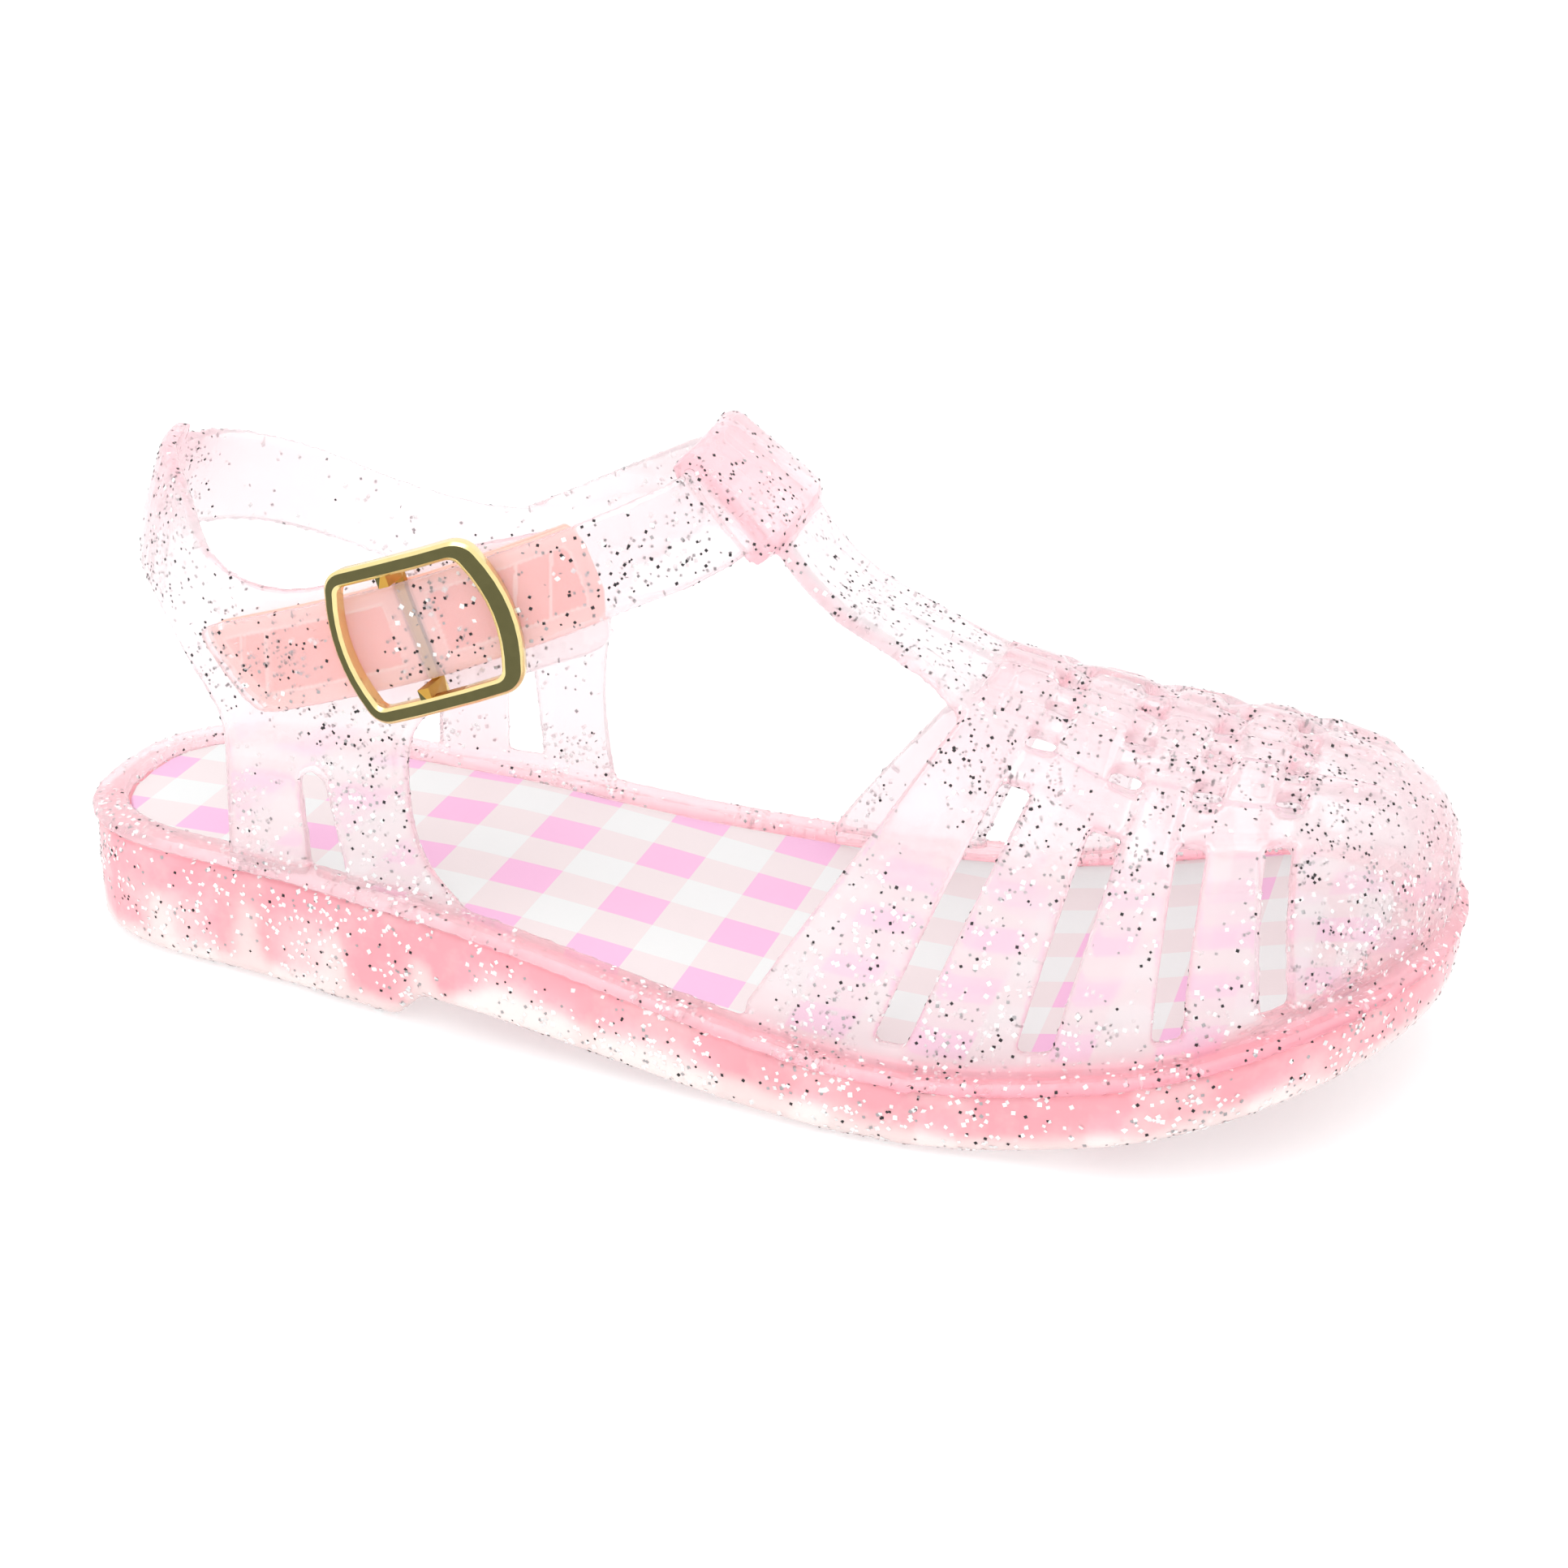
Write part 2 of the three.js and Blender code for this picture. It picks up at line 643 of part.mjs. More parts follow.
// Outer face of the shell in plan, with the direction square to it
function shellFace(x, side) {
  const dx = 0.2;
  const slope = (shellY(x + dx, side) - shellY(x - dx, side)) / (2 * dx);
  const sign = side === 'lateral' ? -1 : 1;
  const out = new THREE.Vector3(-sign * slope, sign, 0).normalize();
  return { point: new THREE.Vector3(x, shellY(x, side), 0), out };
}

function makeShell() {
  const line = [];
  const heelPoints = 9;
  const sidePoints = 8;
  const front = shellPlan[shellPlan.length - 1].at * length;
  for (const side of ['lateral', 'medial']) {
    const half = [];
    for (let i = 1; i <= heelPoints; i += 1) {
      const x = shellBack + shellCapLength * (1 - Math.cos(i / heelPoints * Math.PI / 2));
      half.push(shellFace(x, side));
    }
    for (let i = 1; i <= sidePoints; i += 1) {
      half.push(shellFace(lerp(shellBack + shellCapLength, front, i / sidePoints), side));
    }
    if (side === 'lateral') {
      line.push(...half.reverse());
      const tip = new THREE.Vector3(shellBack, shellTip * ballWidth, 0);
      line.push({ point: tip, out: new THREE.Vector3(-1, 0, 0) });
    } else {
      line.push(...half);
    }
  }
  const low = heelHeight - rimThickness + 0.1;
  const levels = [low, 0.78 * bandTop, 0.89 * bandTop, bandTop, 1.1 * bandTop];
  const leaned = (point, z) => {
    const rise = clamp((z / bandTop - 0.78) / 0.22, 0, 1.5);
    const lean = heelLean * rise ** 1.5 * (1 - smooth(point.x, 0.116 * length, 0.21 * length));
    return new THREE.Vector3(point.x + lean, point.y, z);
  };
  const outer = levels.map((z) => line.map(({ point }) => leaned(point, z)));
  const inner = levels.map((z) => line.map(({ point, out }) => (
    leaned(point.clone().addScaledVector(out, -quarterWall), z))));
  return sheet(outer, inner);
}

// Side profiles of the shell: shares of the length and of the band's height, corners rounded
const lateralProfile = [
  { at: -0.030, up: 1.032, round: 0 },
  { at: 0.118, up: 1.022, round: 5 },
  { at: 0.155, up: 0.850, round: 4 },
  { at: 0.203, up: 0.828, round: 5 },
  { at: 0.254, up: 0.872, round: 3 },
  { at: 0.347, up: 0.984, round: 6 },
  { at: 0.409, up: 1.022, round: 2.5 },
  { at: 0.437, up: 0.786, round: 3.2 },
  { at: 0.390, up: 0.750, round: 5 },
  { at: 0.301, up: 0.622, round: 5 },
  { at: 0.299, up: 0.460, round: 8 },
  { at: 0.308, up: 0.340, round: 8 },
  { at: 0.345, up: 0.228, round: 1 },
  { at: 0.345, up: 0.200, round: 0 },
  { at: 0.158, up: 0.200, round: 0 },
  { at: 0.158, up: 0.560, round: 8 },
  { at: 0.126, up: 0.670, round: 6 },
  { at: 0.092, up: 0.775, round: 4 },
  { at: 0.045, up: 0.803, round: 4 },
  { at: -0.030, up: 0.806, round: 0 },
];
const medialProfile = [
  { at: -0.030, up: 1.032, round: 0 },
  { at: 0.050, up: 1.022, round: 8 },
  { at: 0.130, up: 0.898, round: 8 },
  { at: 0.190, up: 0.836, round: 8 },
  { at: 0.265, up: 0.800, round: 8 },
  { at: 0.330, up: 0.832, round: 6 },
  { at: 0.391, up: 0.900, round: 0.6 },
  { at: 0.401, up: 0.780, round: 0.6 },
  { at: 0.352, up: 0.650, round: 6 },
  { at: 0.346, up: 0.400, round: 8 },
  { at: 0.358, up: 0.228, round: 1 },
  { at: 0.358, up: 0.200, round: 0 },
  { at: 0.214, up: 0.200, round: 0 },
  { at: 0.214, up: 0.560, round: 6 },
  { at: 0.190, up: 0.664, round: 5 },
  { at: 0.135, up: 0.710, round: 8 },
  { at: 0.068, up: 0.785, round: 6 },
  { at: -0.030, up: 0.806, round: 0 },
];
// Slots of the uprights: lower and upper end
const uprightSlots = {
  lateral: { low: [0.2380, 0.262], high: [0.2270, 0.448], half: 1.9, lowHalf: 2.6 },
  medial: { low: [0.2830, 0.262], high: [0.2790, 0.448], half: 1.9, lowHalf: 2.6 },
};

// A rounded outline from a table of corners
function roundedShape(corners) {
  const shape = new THREE.Shape();
  corners.forEach((corner, i) => {
    const here = new THREE.Vector2(corner.at * length, corner.up * bandTop);
    const prev = corners[(i + corners.length - 1) % corners.length];
    const next = corners[(i + 1) % corners.length];
    const from = new THREE.Vector2(prev.at * length, prev.up * bandTop).sub(here);
    const to = new THREE.Vector2(next.at * length, next.up * bandTop).sub(here);
    const cut = Math.min(corner.round, from.length() * 0.48, to.length() * 0.48);
    const start = here.clone().addScaledVector(from.normalize(), cut);
    const end = here.clone().addScaledVector(to.normalize(), cut);
    if (i === 0) shape.moveTo(start.x, start.y);
    else shape.lineTo(start.x, start.y);
    if (cut > 0) shape.quadraticCurveTo(here.x, here.y, end.x, end.y);
  });
  return shape;
}

function slotShape({ low, high, half, lowHalf }) {
  const [x0, z0] = [low[0] * length, low[1] * bandTop];
  const [x1, z1] = [high[0] * length, high[1] * bandTop];
  const hole = new THREE.Path();
  hole.moveTo(x0 + lowHalf, z0);
  hole.lineTo(x1 + half, z1);
  hole.absarc(x1, z1, half, 0, Math.PI, false);
  hole.lineTo(x0 - lowHalf, z0);
  return hole;
}

// The side profile as a block across one half of the foot
function profileBlock(corners, slot, from, to) {
  const shape = roundedShape(corners);
  shape.holes.push(slotShape(slot));
  const options = { depth: to - from, bevelEnabled: false, curveSegments: 3 };
  const geometry = new THREE.ExtrudeGeometry(shape, options);
  geometry.rotateX(Math.PI / 2);
  geometry.translate(0, to, 0);
  return solidFrom(geometry);
}

function makeQuarter() {
  const shell = makeShell();
  const middle = shellTip * ballWidth;
  const lateral = profileBlock(lateralProfile, uprightSlots.lateral, -ballWidth, middle + 0.05);
  const medial = profileBlock(medialProfile, uprightSlots.medial, middle, ballWidth);
  return shell.intersect(lateral).add(shell.intersect(medial));
}

// Path of the ankle strap's middle: free points as shares of the length, the ball width and the loop's
// height, and points that follow the shell, up by the band's height. Lean is the face's tilt in degrees
const strapGap = strapStack + strapThickness / 2;
const strapFreeRows = [
  { at: 0.4020, across: 0.268, up: 0.850, lean: 18 },
  { at: 0.4400, across: 0.229, up: 0.915, lean: 30 },
  { at: 0.4750, across: 0.172, up: 0.970, lean: 42 },
  { at: 0.4960, across: 0.090, up: 1.000, lean: 89 - loopSlope },
  { at: 0.4980, across: -0.010, up: 1.000, lean: 90 - loopSlope },
  { at: 0.4960, across: -0.115, up: 0.987, lean: 87 - loopSlope },
  { at: 0.4780, across: -0.208, up: 0.958, lean: 28 },
];
const strapRootRows = [
  { at: 0.279, up: 0.707, lean: 3 },
  { at: 0.326, up: 0.772, lean: 5 },
  { at: 0.364, up: 0.829, lean: 9 },
];
const strapTabRows = [
  { at: 0.150, up: 0.654, lean: 0 },
  { at: 0.195, up: 0.699, lean: 0 },
  { at: 0.262, up: 0.766, lean: 0 },
  { at: 0.331, up: 0.844, lean: 0 },
  { at: 0.390, up: 0.919, lean: 1 },
  { at: 0.434, up: 0.975, lean: 5 },
];
const strapRows = strapRootRows.map((row) => ({ ...row, side: 'medial', gap: -quarterWall / 2 }));
strapRows.push(...strapFreeRows);
const tabSteps = 12;
for (let i = 0; i <= tabSteps; i += 1) {
  const at = lerp(strapTabRows[strapTabRows.length - 1].at, strapTabRows[0].at, i / tabSteps);
  strapRows.push({
    at,
    up: along(strapTabRows, 'up', at),
    lean: along(strapTabRows, 'lean', at),
    side: 'lateral',
    gap: strapGap,
  });
}
const strapPoints = strapRows.map((row) => {
  if (!row.side) return new THREE.Vector3(row.at * length, row.across * ballWidth, row.up * loopHeight);
  const { point, out } = shellFace(row.at * length, row.side);
  return point.addScaledVector(out, row.gap).setZ(row.up * bandTop);
});
const strapCurve = new THREE.CatmullRomCurve3(strapPoints, false, 'centripetal');
const strapLength = strapCurve.getLength();
const leanRows = [];
let run = 0;
strapPoints.forEach((point, i) => {
  if (i > 0) run += point.distanceTo(strapPoints[i - 1]);
  leanRows.push({ at: run, lean: strapRows[i].lean });
});
leanRows.forEach((row) => { row.at *= strapLength / run; });

// A point beside the strap's middle: s along the path, w towards its lower edge, n outwards
function strapPoint(s, w, n) {
  const u = clamp(s / strapLength, 0, 1);
  const point = strapCurve.getPointAt(u);
  const tangent = strapCurve.getTangentAt(u);
  const lean = along(leanRows, 'lean', s) * Math.PI / 180;
  const level = Math.hypot(tangent.x, tangent.y);
  const fall = Math.acos(clamp(-tangent.z * Math.tan(lean) / level, -1, 1));
  const turn = Math.atan2(tangent.y, tangent.x) + fall;
  const out = new THREE.Vector3(Math.cos(turn), Math.sin(turn), Math.tan(lean)).normalize();
  const down = out.clone().cross(tangent).normalize();
  if (down.z > 0) down.negate();
  return point.addScaledVector(down, w).addScaledVector(out, n);
}

// Arc length of the path nearest to a place of the foot on the lateral side
function strapAt(share) {
  let best = 0;
  let bestGap = Infinity;
  for (let s = strapLength * 0.5; s <= strapLength; s += 0.25) {
    const point = strapCurve.getPointAt(s / strapLength);
    const gap = Math.abs(point.x - share * length);
    if (gap < bestGap && point.y < 0) {
      bestGap = gap;
      best = s;
    }
  }
  return best;
}
const loopAt = leanRows[strapRootRows.length + 4].at;
const tipAt = strapAt(0.174);
const tipSlant = 0.42;         // run of the strap's slanted end over its width
const tipRound = 2.2;
const patchFrontAt = strapAt(0.434);
const buckleAt = strapAt(0.327);

// A band along the strap's path between two ends, which may vary over the width.
// Its rows are closer together where the path bends, at the loop
const bendSpan = 15;
const bendStep = 1.6;
const plainStep = 4.8;
function makeBand({ start, end, width, low, high, chamfer }) {
  const half = width / 2;
  const shares = [-1, -0.9, -0.5, 0.5, 0.9, 1];
  const [from, to] = [start(0, half), end(0, half)];
  const places = [from];
  while (places[places.length - 1] < to - plainStep) {
    const place = places[places.length - 1];
    places.push(place + (Math.abs(place - loopAt) < bendSpan ? bendStep : plainStep));
  }
  places.push(to);
  const outer = [];
  const inner = [];
  for (const place of places) {
    const outerRow = [];
    const innerRow = [];
    for (const share of shares) {
      const s = lerp(start(share * half, half), end(share * half, half), (place - from) / (to - from));
      const cut = Math.abs(share) > 0.99 ? chamfer : 0;
      outerRow.push(strapPoint(s, share * half, high - cut));
      innerRow.push(strapPoint(s, share * half, low + cut));
    }
    outer.push(outerRow);
    inner.push(innerRow);
  }
  return sheet(outer, inner);
}
const slantedTip = (w, half) => {
  const corner = Math.max(0, Math.abs(w) - (half - tipRound)) / tipRound;
  return tipAt - w * tipSlant - tipRound * (1 - Math.sqrt(1 - corner * corner));
};

function makeStrap() {
  return makeBand({
    start: () => 0,
    end: slantedTip,
    width: strapWidth,
    low: -strapThickness / 2,
    high: strapThickness / 2,
    chamfer: 0.45,
  });
}

// Loop at the end of the T-bar, a sleeve round the strap
function makeLoop() {
  const within = { w: strapWidth / 2 + seam, n: strapThickness / 2 + seam };
  const around = { w: within.w + loopWall, n: within.n + loopWall };
  const sleeve = (size, round, half, steps) => {
    const ring = [];
    for (const [sw, sn] of [[-1, -1], [1, -1], [1, 1], [-1, 1]]) {
      const corner = [[sw * (size.w - round), sn * size.n], [sw * size.w, sn * (size.n - round)]];
      ring.push(...(sw * sn > 0 ? corner.reverse() : corner));
    }
    const slices = [];
    for (let i = 0; i <= steps; i += 1) {
      const s = loopAt + lerp(-half, half, i / steps);
      slices.push(ring.map(([w, n]) => strapPoint(s, w, n)));
    }
    const skin = new Skin();
    const count = ring.length;
    for (let i = 0; i < steps; i += 1) {
      for (let k = 0; k < count; k += 1) {
        const j = (k + 1) % count;
        skin.quad(slices[i][k], slices[i][j], slices[i + 1][j], slices[i + 1][k]);
      }
    }
    for (let k = 1; k < count - 1; k += 1) {
      skin.triangle(slices[0][0], slices[0][k + 1], slices[0][k]);
      skin.triangle(slices[steps][0], slices[steps][k], slices[steps][k + 1]);
    }
    return skin.solid();
  };
  return { around: sleeve(around, 1.1, loopHalfSpan, 12), bore: sleeve(within, 0.4, loopHalfSpan + 2, 15) };
}

// Patches of the hook and loop fastening
const patchFront = (w, half) => patchFrontAt + 2.2 * (1 - Math.sqrt(1 - 0.9 * (w / half) ** 2));
function makePatch(start, end, layer) {
  const high = -strapThickness / 2 - seam - layer * (patchThickness + seam);
  return makeBand({ start, end, width: patchWidth, low: high - patchThickness, high, chamfer: 0.2 });
}
const barAt = buckleAt + centreBarShift;
const barClear = centreBar / 2 + seam;

// Buckle: a curved frame over the strap and a centre bar behind it
function frameOutline(halfLength, halfHeight, corner) {
  const lean = Math.atan(2 * buckleBow / (halfHeight - corner / 2));
  const sideTop = halfHeight - corner + corner * Math.sin(lean);
  const quarter = [];
  for (let i = 0; i < 4; i += 1) {
    quarter.push([halfLength - buckleBow * (i / 4) ** 2, sideTop * i / 4]);
  }
  const centre = [halfLength - buckleBow - corner * Math.cos(lean), halfHeight - corner];
  for (let i = 0; i <= 7; i += 1) {
    const turn = lerp(lean, Math.PI / 2, i / 7);
    quarter.push([centre[0] + corner * Math.cos(turn), centre[1] + corner * Math.sin(turn)]);
  }
  quarter.push([halfLength * 0.32, halfHeight]);
  const mirror = (points, a, b) => points.map(([x, y]) => [a * x, b * y]);
  const left = mirror(quarter, -1, 1).reverse();
  const down = mirror(quarter, -1, -1).slice(1);
  const right = mirror(quarter, 1, -1).reverse().slice(0, -1);
  return [...quarter, ...left, ...down, ...right];
}

function makeBuckle() {
  const low = strapThickness / 2 + seam;
  const high = low + buckleThickness;
  const bevel = 0.35;
  const shift = 0.45;
  const at = (shrink, n) => frameOutline(
    buckleLength / 2 - shrink, buckleHeight / 2 - shrink, Math.max(buckleCorner - shrink, 1.2),
  ).map(([s, w]) => strapPoint(buckleAt + s + (shrink > buckleBar / 2 ? shift : 0), w, n));
  const frame = loftRing([
    at(buckleBar, low),
    at(buckleBar, high - bevel),
    at(buckleBar - bevel, high),
    at(bevel, high),
    at(0, high - bevel),
    at(0, low),
  ]);
  const barHigh = -strapThickness / 2 - seam;
  const barLow = barHigh - centreBarThickness;
  const reach = buckleHeight / 2 - 0.6;
  const bar = slab(-centreBar / 2, centreBar / 2, -reach, reach, barLow, barHigh, 1, 6);
  const post = strapWidth / 2 + seam;
  const upper = slab(-centreBar / 2, centreBar / 2, -reach, -post, barLow, high - bevel, 1, 1);
  const lower = slab(-centreBar / 2, centreBar / 2, post, reach, barLow, high - bevel, 1, 1);
  return frame.add(bar).add(upper).add(lower);
}

// A block in the strap's own directions, about the centre bar
function slab(s0, s1, w0, w1, n0, n1, sSteps, wSteps) {
  const face = (n) => {
    const rows = [];
    for (let i = 0; i <= sSteps; i += 1) {
      const row = [];
      for (let j = 0; j <= wSteps; j += 1) {
        row.push(strapPoint(barAt + lerp(s0, s1, i / sSteps), lerp(w0, w1, j / wSteps), n));
      }
      rows.push(row);
    }
    return rows;
  };
  return sheet(face(n1), face(n0));
}

function makeUpper() {
  const loop = makeLoop();
  const front = [makeVamp(), makeTBar(), loop.around]
    .reduce((solid, piece) => solid.add(piece), makeRim())
    .subtract(loop.bore);
  return front.add(makeQuarter()).add(makeStrap());
}

const group = new THREE.Group();
group.position.x = -heelRest;

function addNode(name, solid, look) {
  const mesh = new THREE.Mesh(geometryFrom(solid), new THREE.MeshStandardMaterial(look));
  mesh.name = name;
  group.add(mesh);
}

const tape = { color: 0xf5b4aa, roughness: 0.7, metalness: 0 };
addNode('outsole', makeOutsole(), { color: 0xf7b8c2, roughness: 0.25, metalness: 0 });
addNode('insole', makeInsole(), { color: 0xf0d5e2, roughness: 0.85, metalness: 0 });
addNode('upper', makeUpper(), { color: 0xf9dfe4, roughness: 0.2, metalness: 0 });
addNode('strap_patch_front', makePatch(patchFront, () => barAt - barClear, 0), tape);
addNode('strap_patch_rear', makePatch(() => barAt + barClear, slantedTip, 0), tape);
addNode('tab_patch', makePatch(patchFront, slantedTip, 1), tape);
addNode('buckle', makeBuckle(), { color: 0xb09a4e, roughness: 0.25, metalness: 1 });

const part = new THREE.Group();
part.add(group);
export default part;
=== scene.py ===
import math
import random

import bmesh
import bpy
import numpy as np
from mathutils import Matrix, Vector, noise
from mathutils.bvhtree import BVHTree
from mathutils.kdtree import KDTree


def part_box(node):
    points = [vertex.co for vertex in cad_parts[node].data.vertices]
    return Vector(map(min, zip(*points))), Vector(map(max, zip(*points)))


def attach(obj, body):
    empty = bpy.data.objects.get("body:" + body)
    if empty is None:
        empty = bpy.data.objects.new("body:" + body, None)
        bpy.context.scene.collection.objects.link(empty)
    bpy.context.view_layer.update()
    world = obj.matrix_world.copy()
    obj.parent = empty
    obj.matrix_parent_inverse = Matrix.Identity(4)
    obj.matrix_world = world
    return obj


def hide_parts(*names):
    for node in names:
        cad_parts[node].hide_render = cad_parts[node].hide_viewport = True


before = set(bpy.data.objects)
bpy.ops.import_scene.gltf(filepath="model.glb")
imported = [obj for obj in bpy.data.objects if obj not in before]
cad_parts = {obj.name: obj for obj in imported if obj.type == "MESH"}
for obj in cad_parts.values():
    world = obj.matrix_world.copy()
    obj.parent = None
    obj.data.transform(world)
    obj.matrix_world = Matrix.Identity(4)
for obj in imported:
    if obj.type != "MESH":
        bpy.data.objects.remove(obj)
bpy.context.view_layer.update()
print("frame loaded")

mm = 0.001


class Socket:
    # Wraps a node's output, so that shader maths reads as plain Python

    def __init__(self, tree, output):
        self.tree = tree
        self.output = output

    def math(self, operation, other=None, flip=False):
        node = self.tree.nodes.new("ShaderNodeMath")
        node.operation = operation
        first, second = (other, self) if flip else (self, other)
        for slotNumber, value in enumerate((first, second)):
            if isinstance(value, Socket):
                self.tree.links.new(value.output, node.inputs[slotNumber])
            elif value is not None:
                node.inputs[slotNumber].default_value = value
        return Socket(self.tree, node.outputs[0])

    def __add__(self, other):
        return self.math("ADD", other)

    def __radd__(self, other):
        return self.math("ADD", other, True)

    def __sub__(self, other):
        return self.math("SUBTRACT", other)

    def __rsub__(self, other):
        return self.math("SUBTRACT", other, True)

    def __mul__(self, other):
        return self.math("MULTIPLY", other)

    def __rmul__(self, other):
        return self.math("MULTIPLY", other, True)

    def __truediv__(self, other):
        return self.math("DIVIDE", other)

    def __lt__(self, other):
        return self.math("LESS_THAN", other)

    def clamped(self):
        return self.math("MAXIMUM", 0.0).math("MINIMUM", 1.0)


class Finish:
    # One material and its nodes

    def __init__(self, name):
        self.material = bpy.data.materials.new(name)
        self.material.use_nodes = True
        self.tree = self.material.node_tree
        self.shader = self.tree.nodes["Principled BSDF"]
        self.output = self.tree.nodes["Material Output"]

    def node(self, kind, settings=None, out=0, **values):
        # An input is given by its name, or by i and its number where names repeat
        node = self.tree.nodes.new(kind)
        for key, value in (settings or {}).items():
            setattr(node, key, value)
        for key, value in values.items():
            numbered = key[0] == "i" and key[1:].isdigit()
            self.feed(node.inputs[int(key[1:]) if numbered else key], value)
        return Socket(self.tree, node.outputs[out])

    def feed(self, target, value):
        if isinstance(value, Socket):
            self.tree.links.new(value.output, target)
        else:
            target.default_value = value

    def place(self):
        return self.node("ShaderNodeTexCoord", out=3)

    def noise(self, scale, detail=2.0, roughness=0.5):
        return self.node("ShaderNodeTexNoise", Vector=self.place(), Scale=scale, Detail=detail,
                         Roughness=roughness)

    def attribute(self, name):
        return self.node("ShaderNodeAttribute", {"attribute_name": name}, out=2)

    def mix(self, share, first, second):
        return self.node("ShaderNodeMix", {"data_type": "RGBA"}, out=2, i0=share, i6=first, i7=second)

    def bump(self, height, strength, distance):
        return self.node("ShaderNodeBump", Strength=strength, Distance=distance, Height=height)

    def set(self, **values):
        for key, value in values.items():
            self.feed(self.shader.inputs[key.replace("_", " ")], value)


plasticGrain = {
    "cloud": 55.0,                     # scales of the noise
    "ripple": 90.0,
    "patch": 260.0,
    "patchShares": (0.55, 0.9),
    "rippleStrength": 0.25,
    "rippleHeight": 0.25 * mm,
}


def makeClearPlastic(name, look):
    # Cloudy moulded plastic: clear with a milky share, pinker where it is thick
    finish = Finish(name)
    cloud = finish.noise(plasticGrain["cloud"], 3.0)
    ripple = finish.noise(plasticGrain["ripple"], 3.0)
    depth = finish.attribute("depth")
    low, span = plasticGrain["patchShares"]
    patchy = (depth * (low + span * finish.noise(plasticGrain["patch"], 3.0, 0.6))).clamped()
    thinColor = finish.mix(cloud, look["milk"], look["blush"])
    rim = finish.attribute("rim")
    color = finish.mix(rim, finish.mix(patchy, thinColor, look["deep"]), look["rose"])
    # Light on its way to the insole and the floor passes more straight
    shadowRay = finish.node("ShaderNodeLightPath", out=1)
    diffuseRay = finish.node("ShaderNodeLightPath", out=2)
    onward = shadowRay.math("MAXIMUM", diffuseRay)
    window = finish.attribute("window")
    alpha = look["alpha"] + look["patchy"] * (cloud - 0.5) - look["windowShare"] * window
    finish.set(
        Base_Color=color,
        Transmission_Weight=look["clear"],
        Alpha=(alpha - look["onward"] * onward).clamped(),
        IOR=look["ior"],
        Roughness=look["roughness"],
        Normal=finish.bump(ripple, plasticGrain["rippleStrength"], plasticGrain["rippleHeight"]),
    )
    absorption = finish.tree.nodes.new("ShaderNodeVolumeAbsorption")
    absorption.inputs["Color"].default_value = look["tint"]
    absorption.inputs["Density"].default_value = look["density"]
    finish.tree.links.new(absorption.outputs[0], finish.output.inputs["Volume"])
    return finish.material


def activate(obj):
    bpy.ops.object.select_all(action="DESELECT")
    obj.select_set(True)
    bpy.context.view_layer.objects.active = obj


def copyNode(name, pieceName):
    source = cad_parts[name]
    piece = bpy.data.objects.new(pieceName, source.data.copy())
    bpy.context.scene.collection.objects.link(piece)
    piece.data.materials.clear()
    activate(piece)
    bpy.ops.object.mode_set(mode="EDIT")
    bpy.ops.mesh.select_all(action="SELECT")
    bpy.ops.mesh.remove_doubles(threshold=0.004 * mm)
    bpy.ops.object.mode_set(mode="OBJECT")
    return piece


def applyAll(piece):
    activate(piece)
    for modifier in list(piece.modifiers):
        bpy.ops.object.modifier_apply(modifier=modifier.name)


def finishPiece(piece, material, slot, *nodes, smooth=True):
    if material:
        piece.data.materials.append(material)
    activate(piece)
    if smooth:
        bpy.ops.object.shade_smooth()
    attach(piece, "root")
    if nodes:
        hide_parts(*nodes)
    print(piece.name, len(piece.data.polygons), "faces")
    return piece


def bevelEdges(piece, width, degrees):
    bevel = piece.modifiers.new("bevel", "BEVEL")
    bevel.width = width
    bevel.segments = 3
    bevel.limit_method = "ANGLE"
    bevel.angle_limit = math.radians(degrees)
    applyAll(piece)
    activate(piece)
    bpy.ops.object.shade_smooth_by_angle(angle=math.radians(35))


def soften(piece, voxel, passes):
    # Rounds the edges of a moulded piece
    remesh = piece.modifiers.new("remesh", "REMESH")
    remesh.mode = "VOXEL"
    remesh.voxel_size = voxel
    smoothing = piece.modifiers.new("smooth", "SMOOTH")
    smoothing.factor = 0.5
    smoothing.iterations = passes
    applyAll(piece)


def cornerPlaces(piece):
    places = np.empty(len(piece.data.vertices) * 3)
    piece.data.vertices.foreach_get("co", places)
    return places.reshape(-1, 3)


def storeDepth(piece, look, retint):
    # How thick the plastic is behind each point, from 0 to 1, for the tint
    mesh = piece.data
    thinWall, thickWall = look["walls"]
    tree = BVHTree.FromObject(piece, bpy.context.evaluated_depsgraph_get())
    skip = 0.05 * mm
    depth = np.zeros(len(mesh.vertices))
    for vertex in mesh.vertices:
        inward = -vertex.normal
        hit = tree.ray_cast(vertex.co + inward * skip, inward, thickWall)
        depth[vertex.index] = thickWall if hit[3] is None else hit[3] + skip
    depth = np.clip((depth - thinWall) / (thickWall - thinWall), 0.0, 1.0)
    depth = retint(cornerPlaces(piece), depth)
    ends = np.empty(len(mesh.edges) * 2, dtype=np.int64)
    mesh.edges.foreach_get("vertices", ends)
    first, second = ends[0::2], ends[1::2]
    count = np.bincount(ends, minlength=len(depth))
    for _ in range(look["blur"]):
        total = np.bincount(first, depth[second], len(depth))
        total += np.bincount(second, depth[first], len(depth))
        depth = 0.5 * depth + 0.5 * total / np.maximum(count, 1)
    storeShare(piece, "depth", depth)


def storeShare(piece, name, values):
    piece.data.attributes.new(name, "FLOAT", "POINT").data.foreach_set("value", values.astype(np.float32))


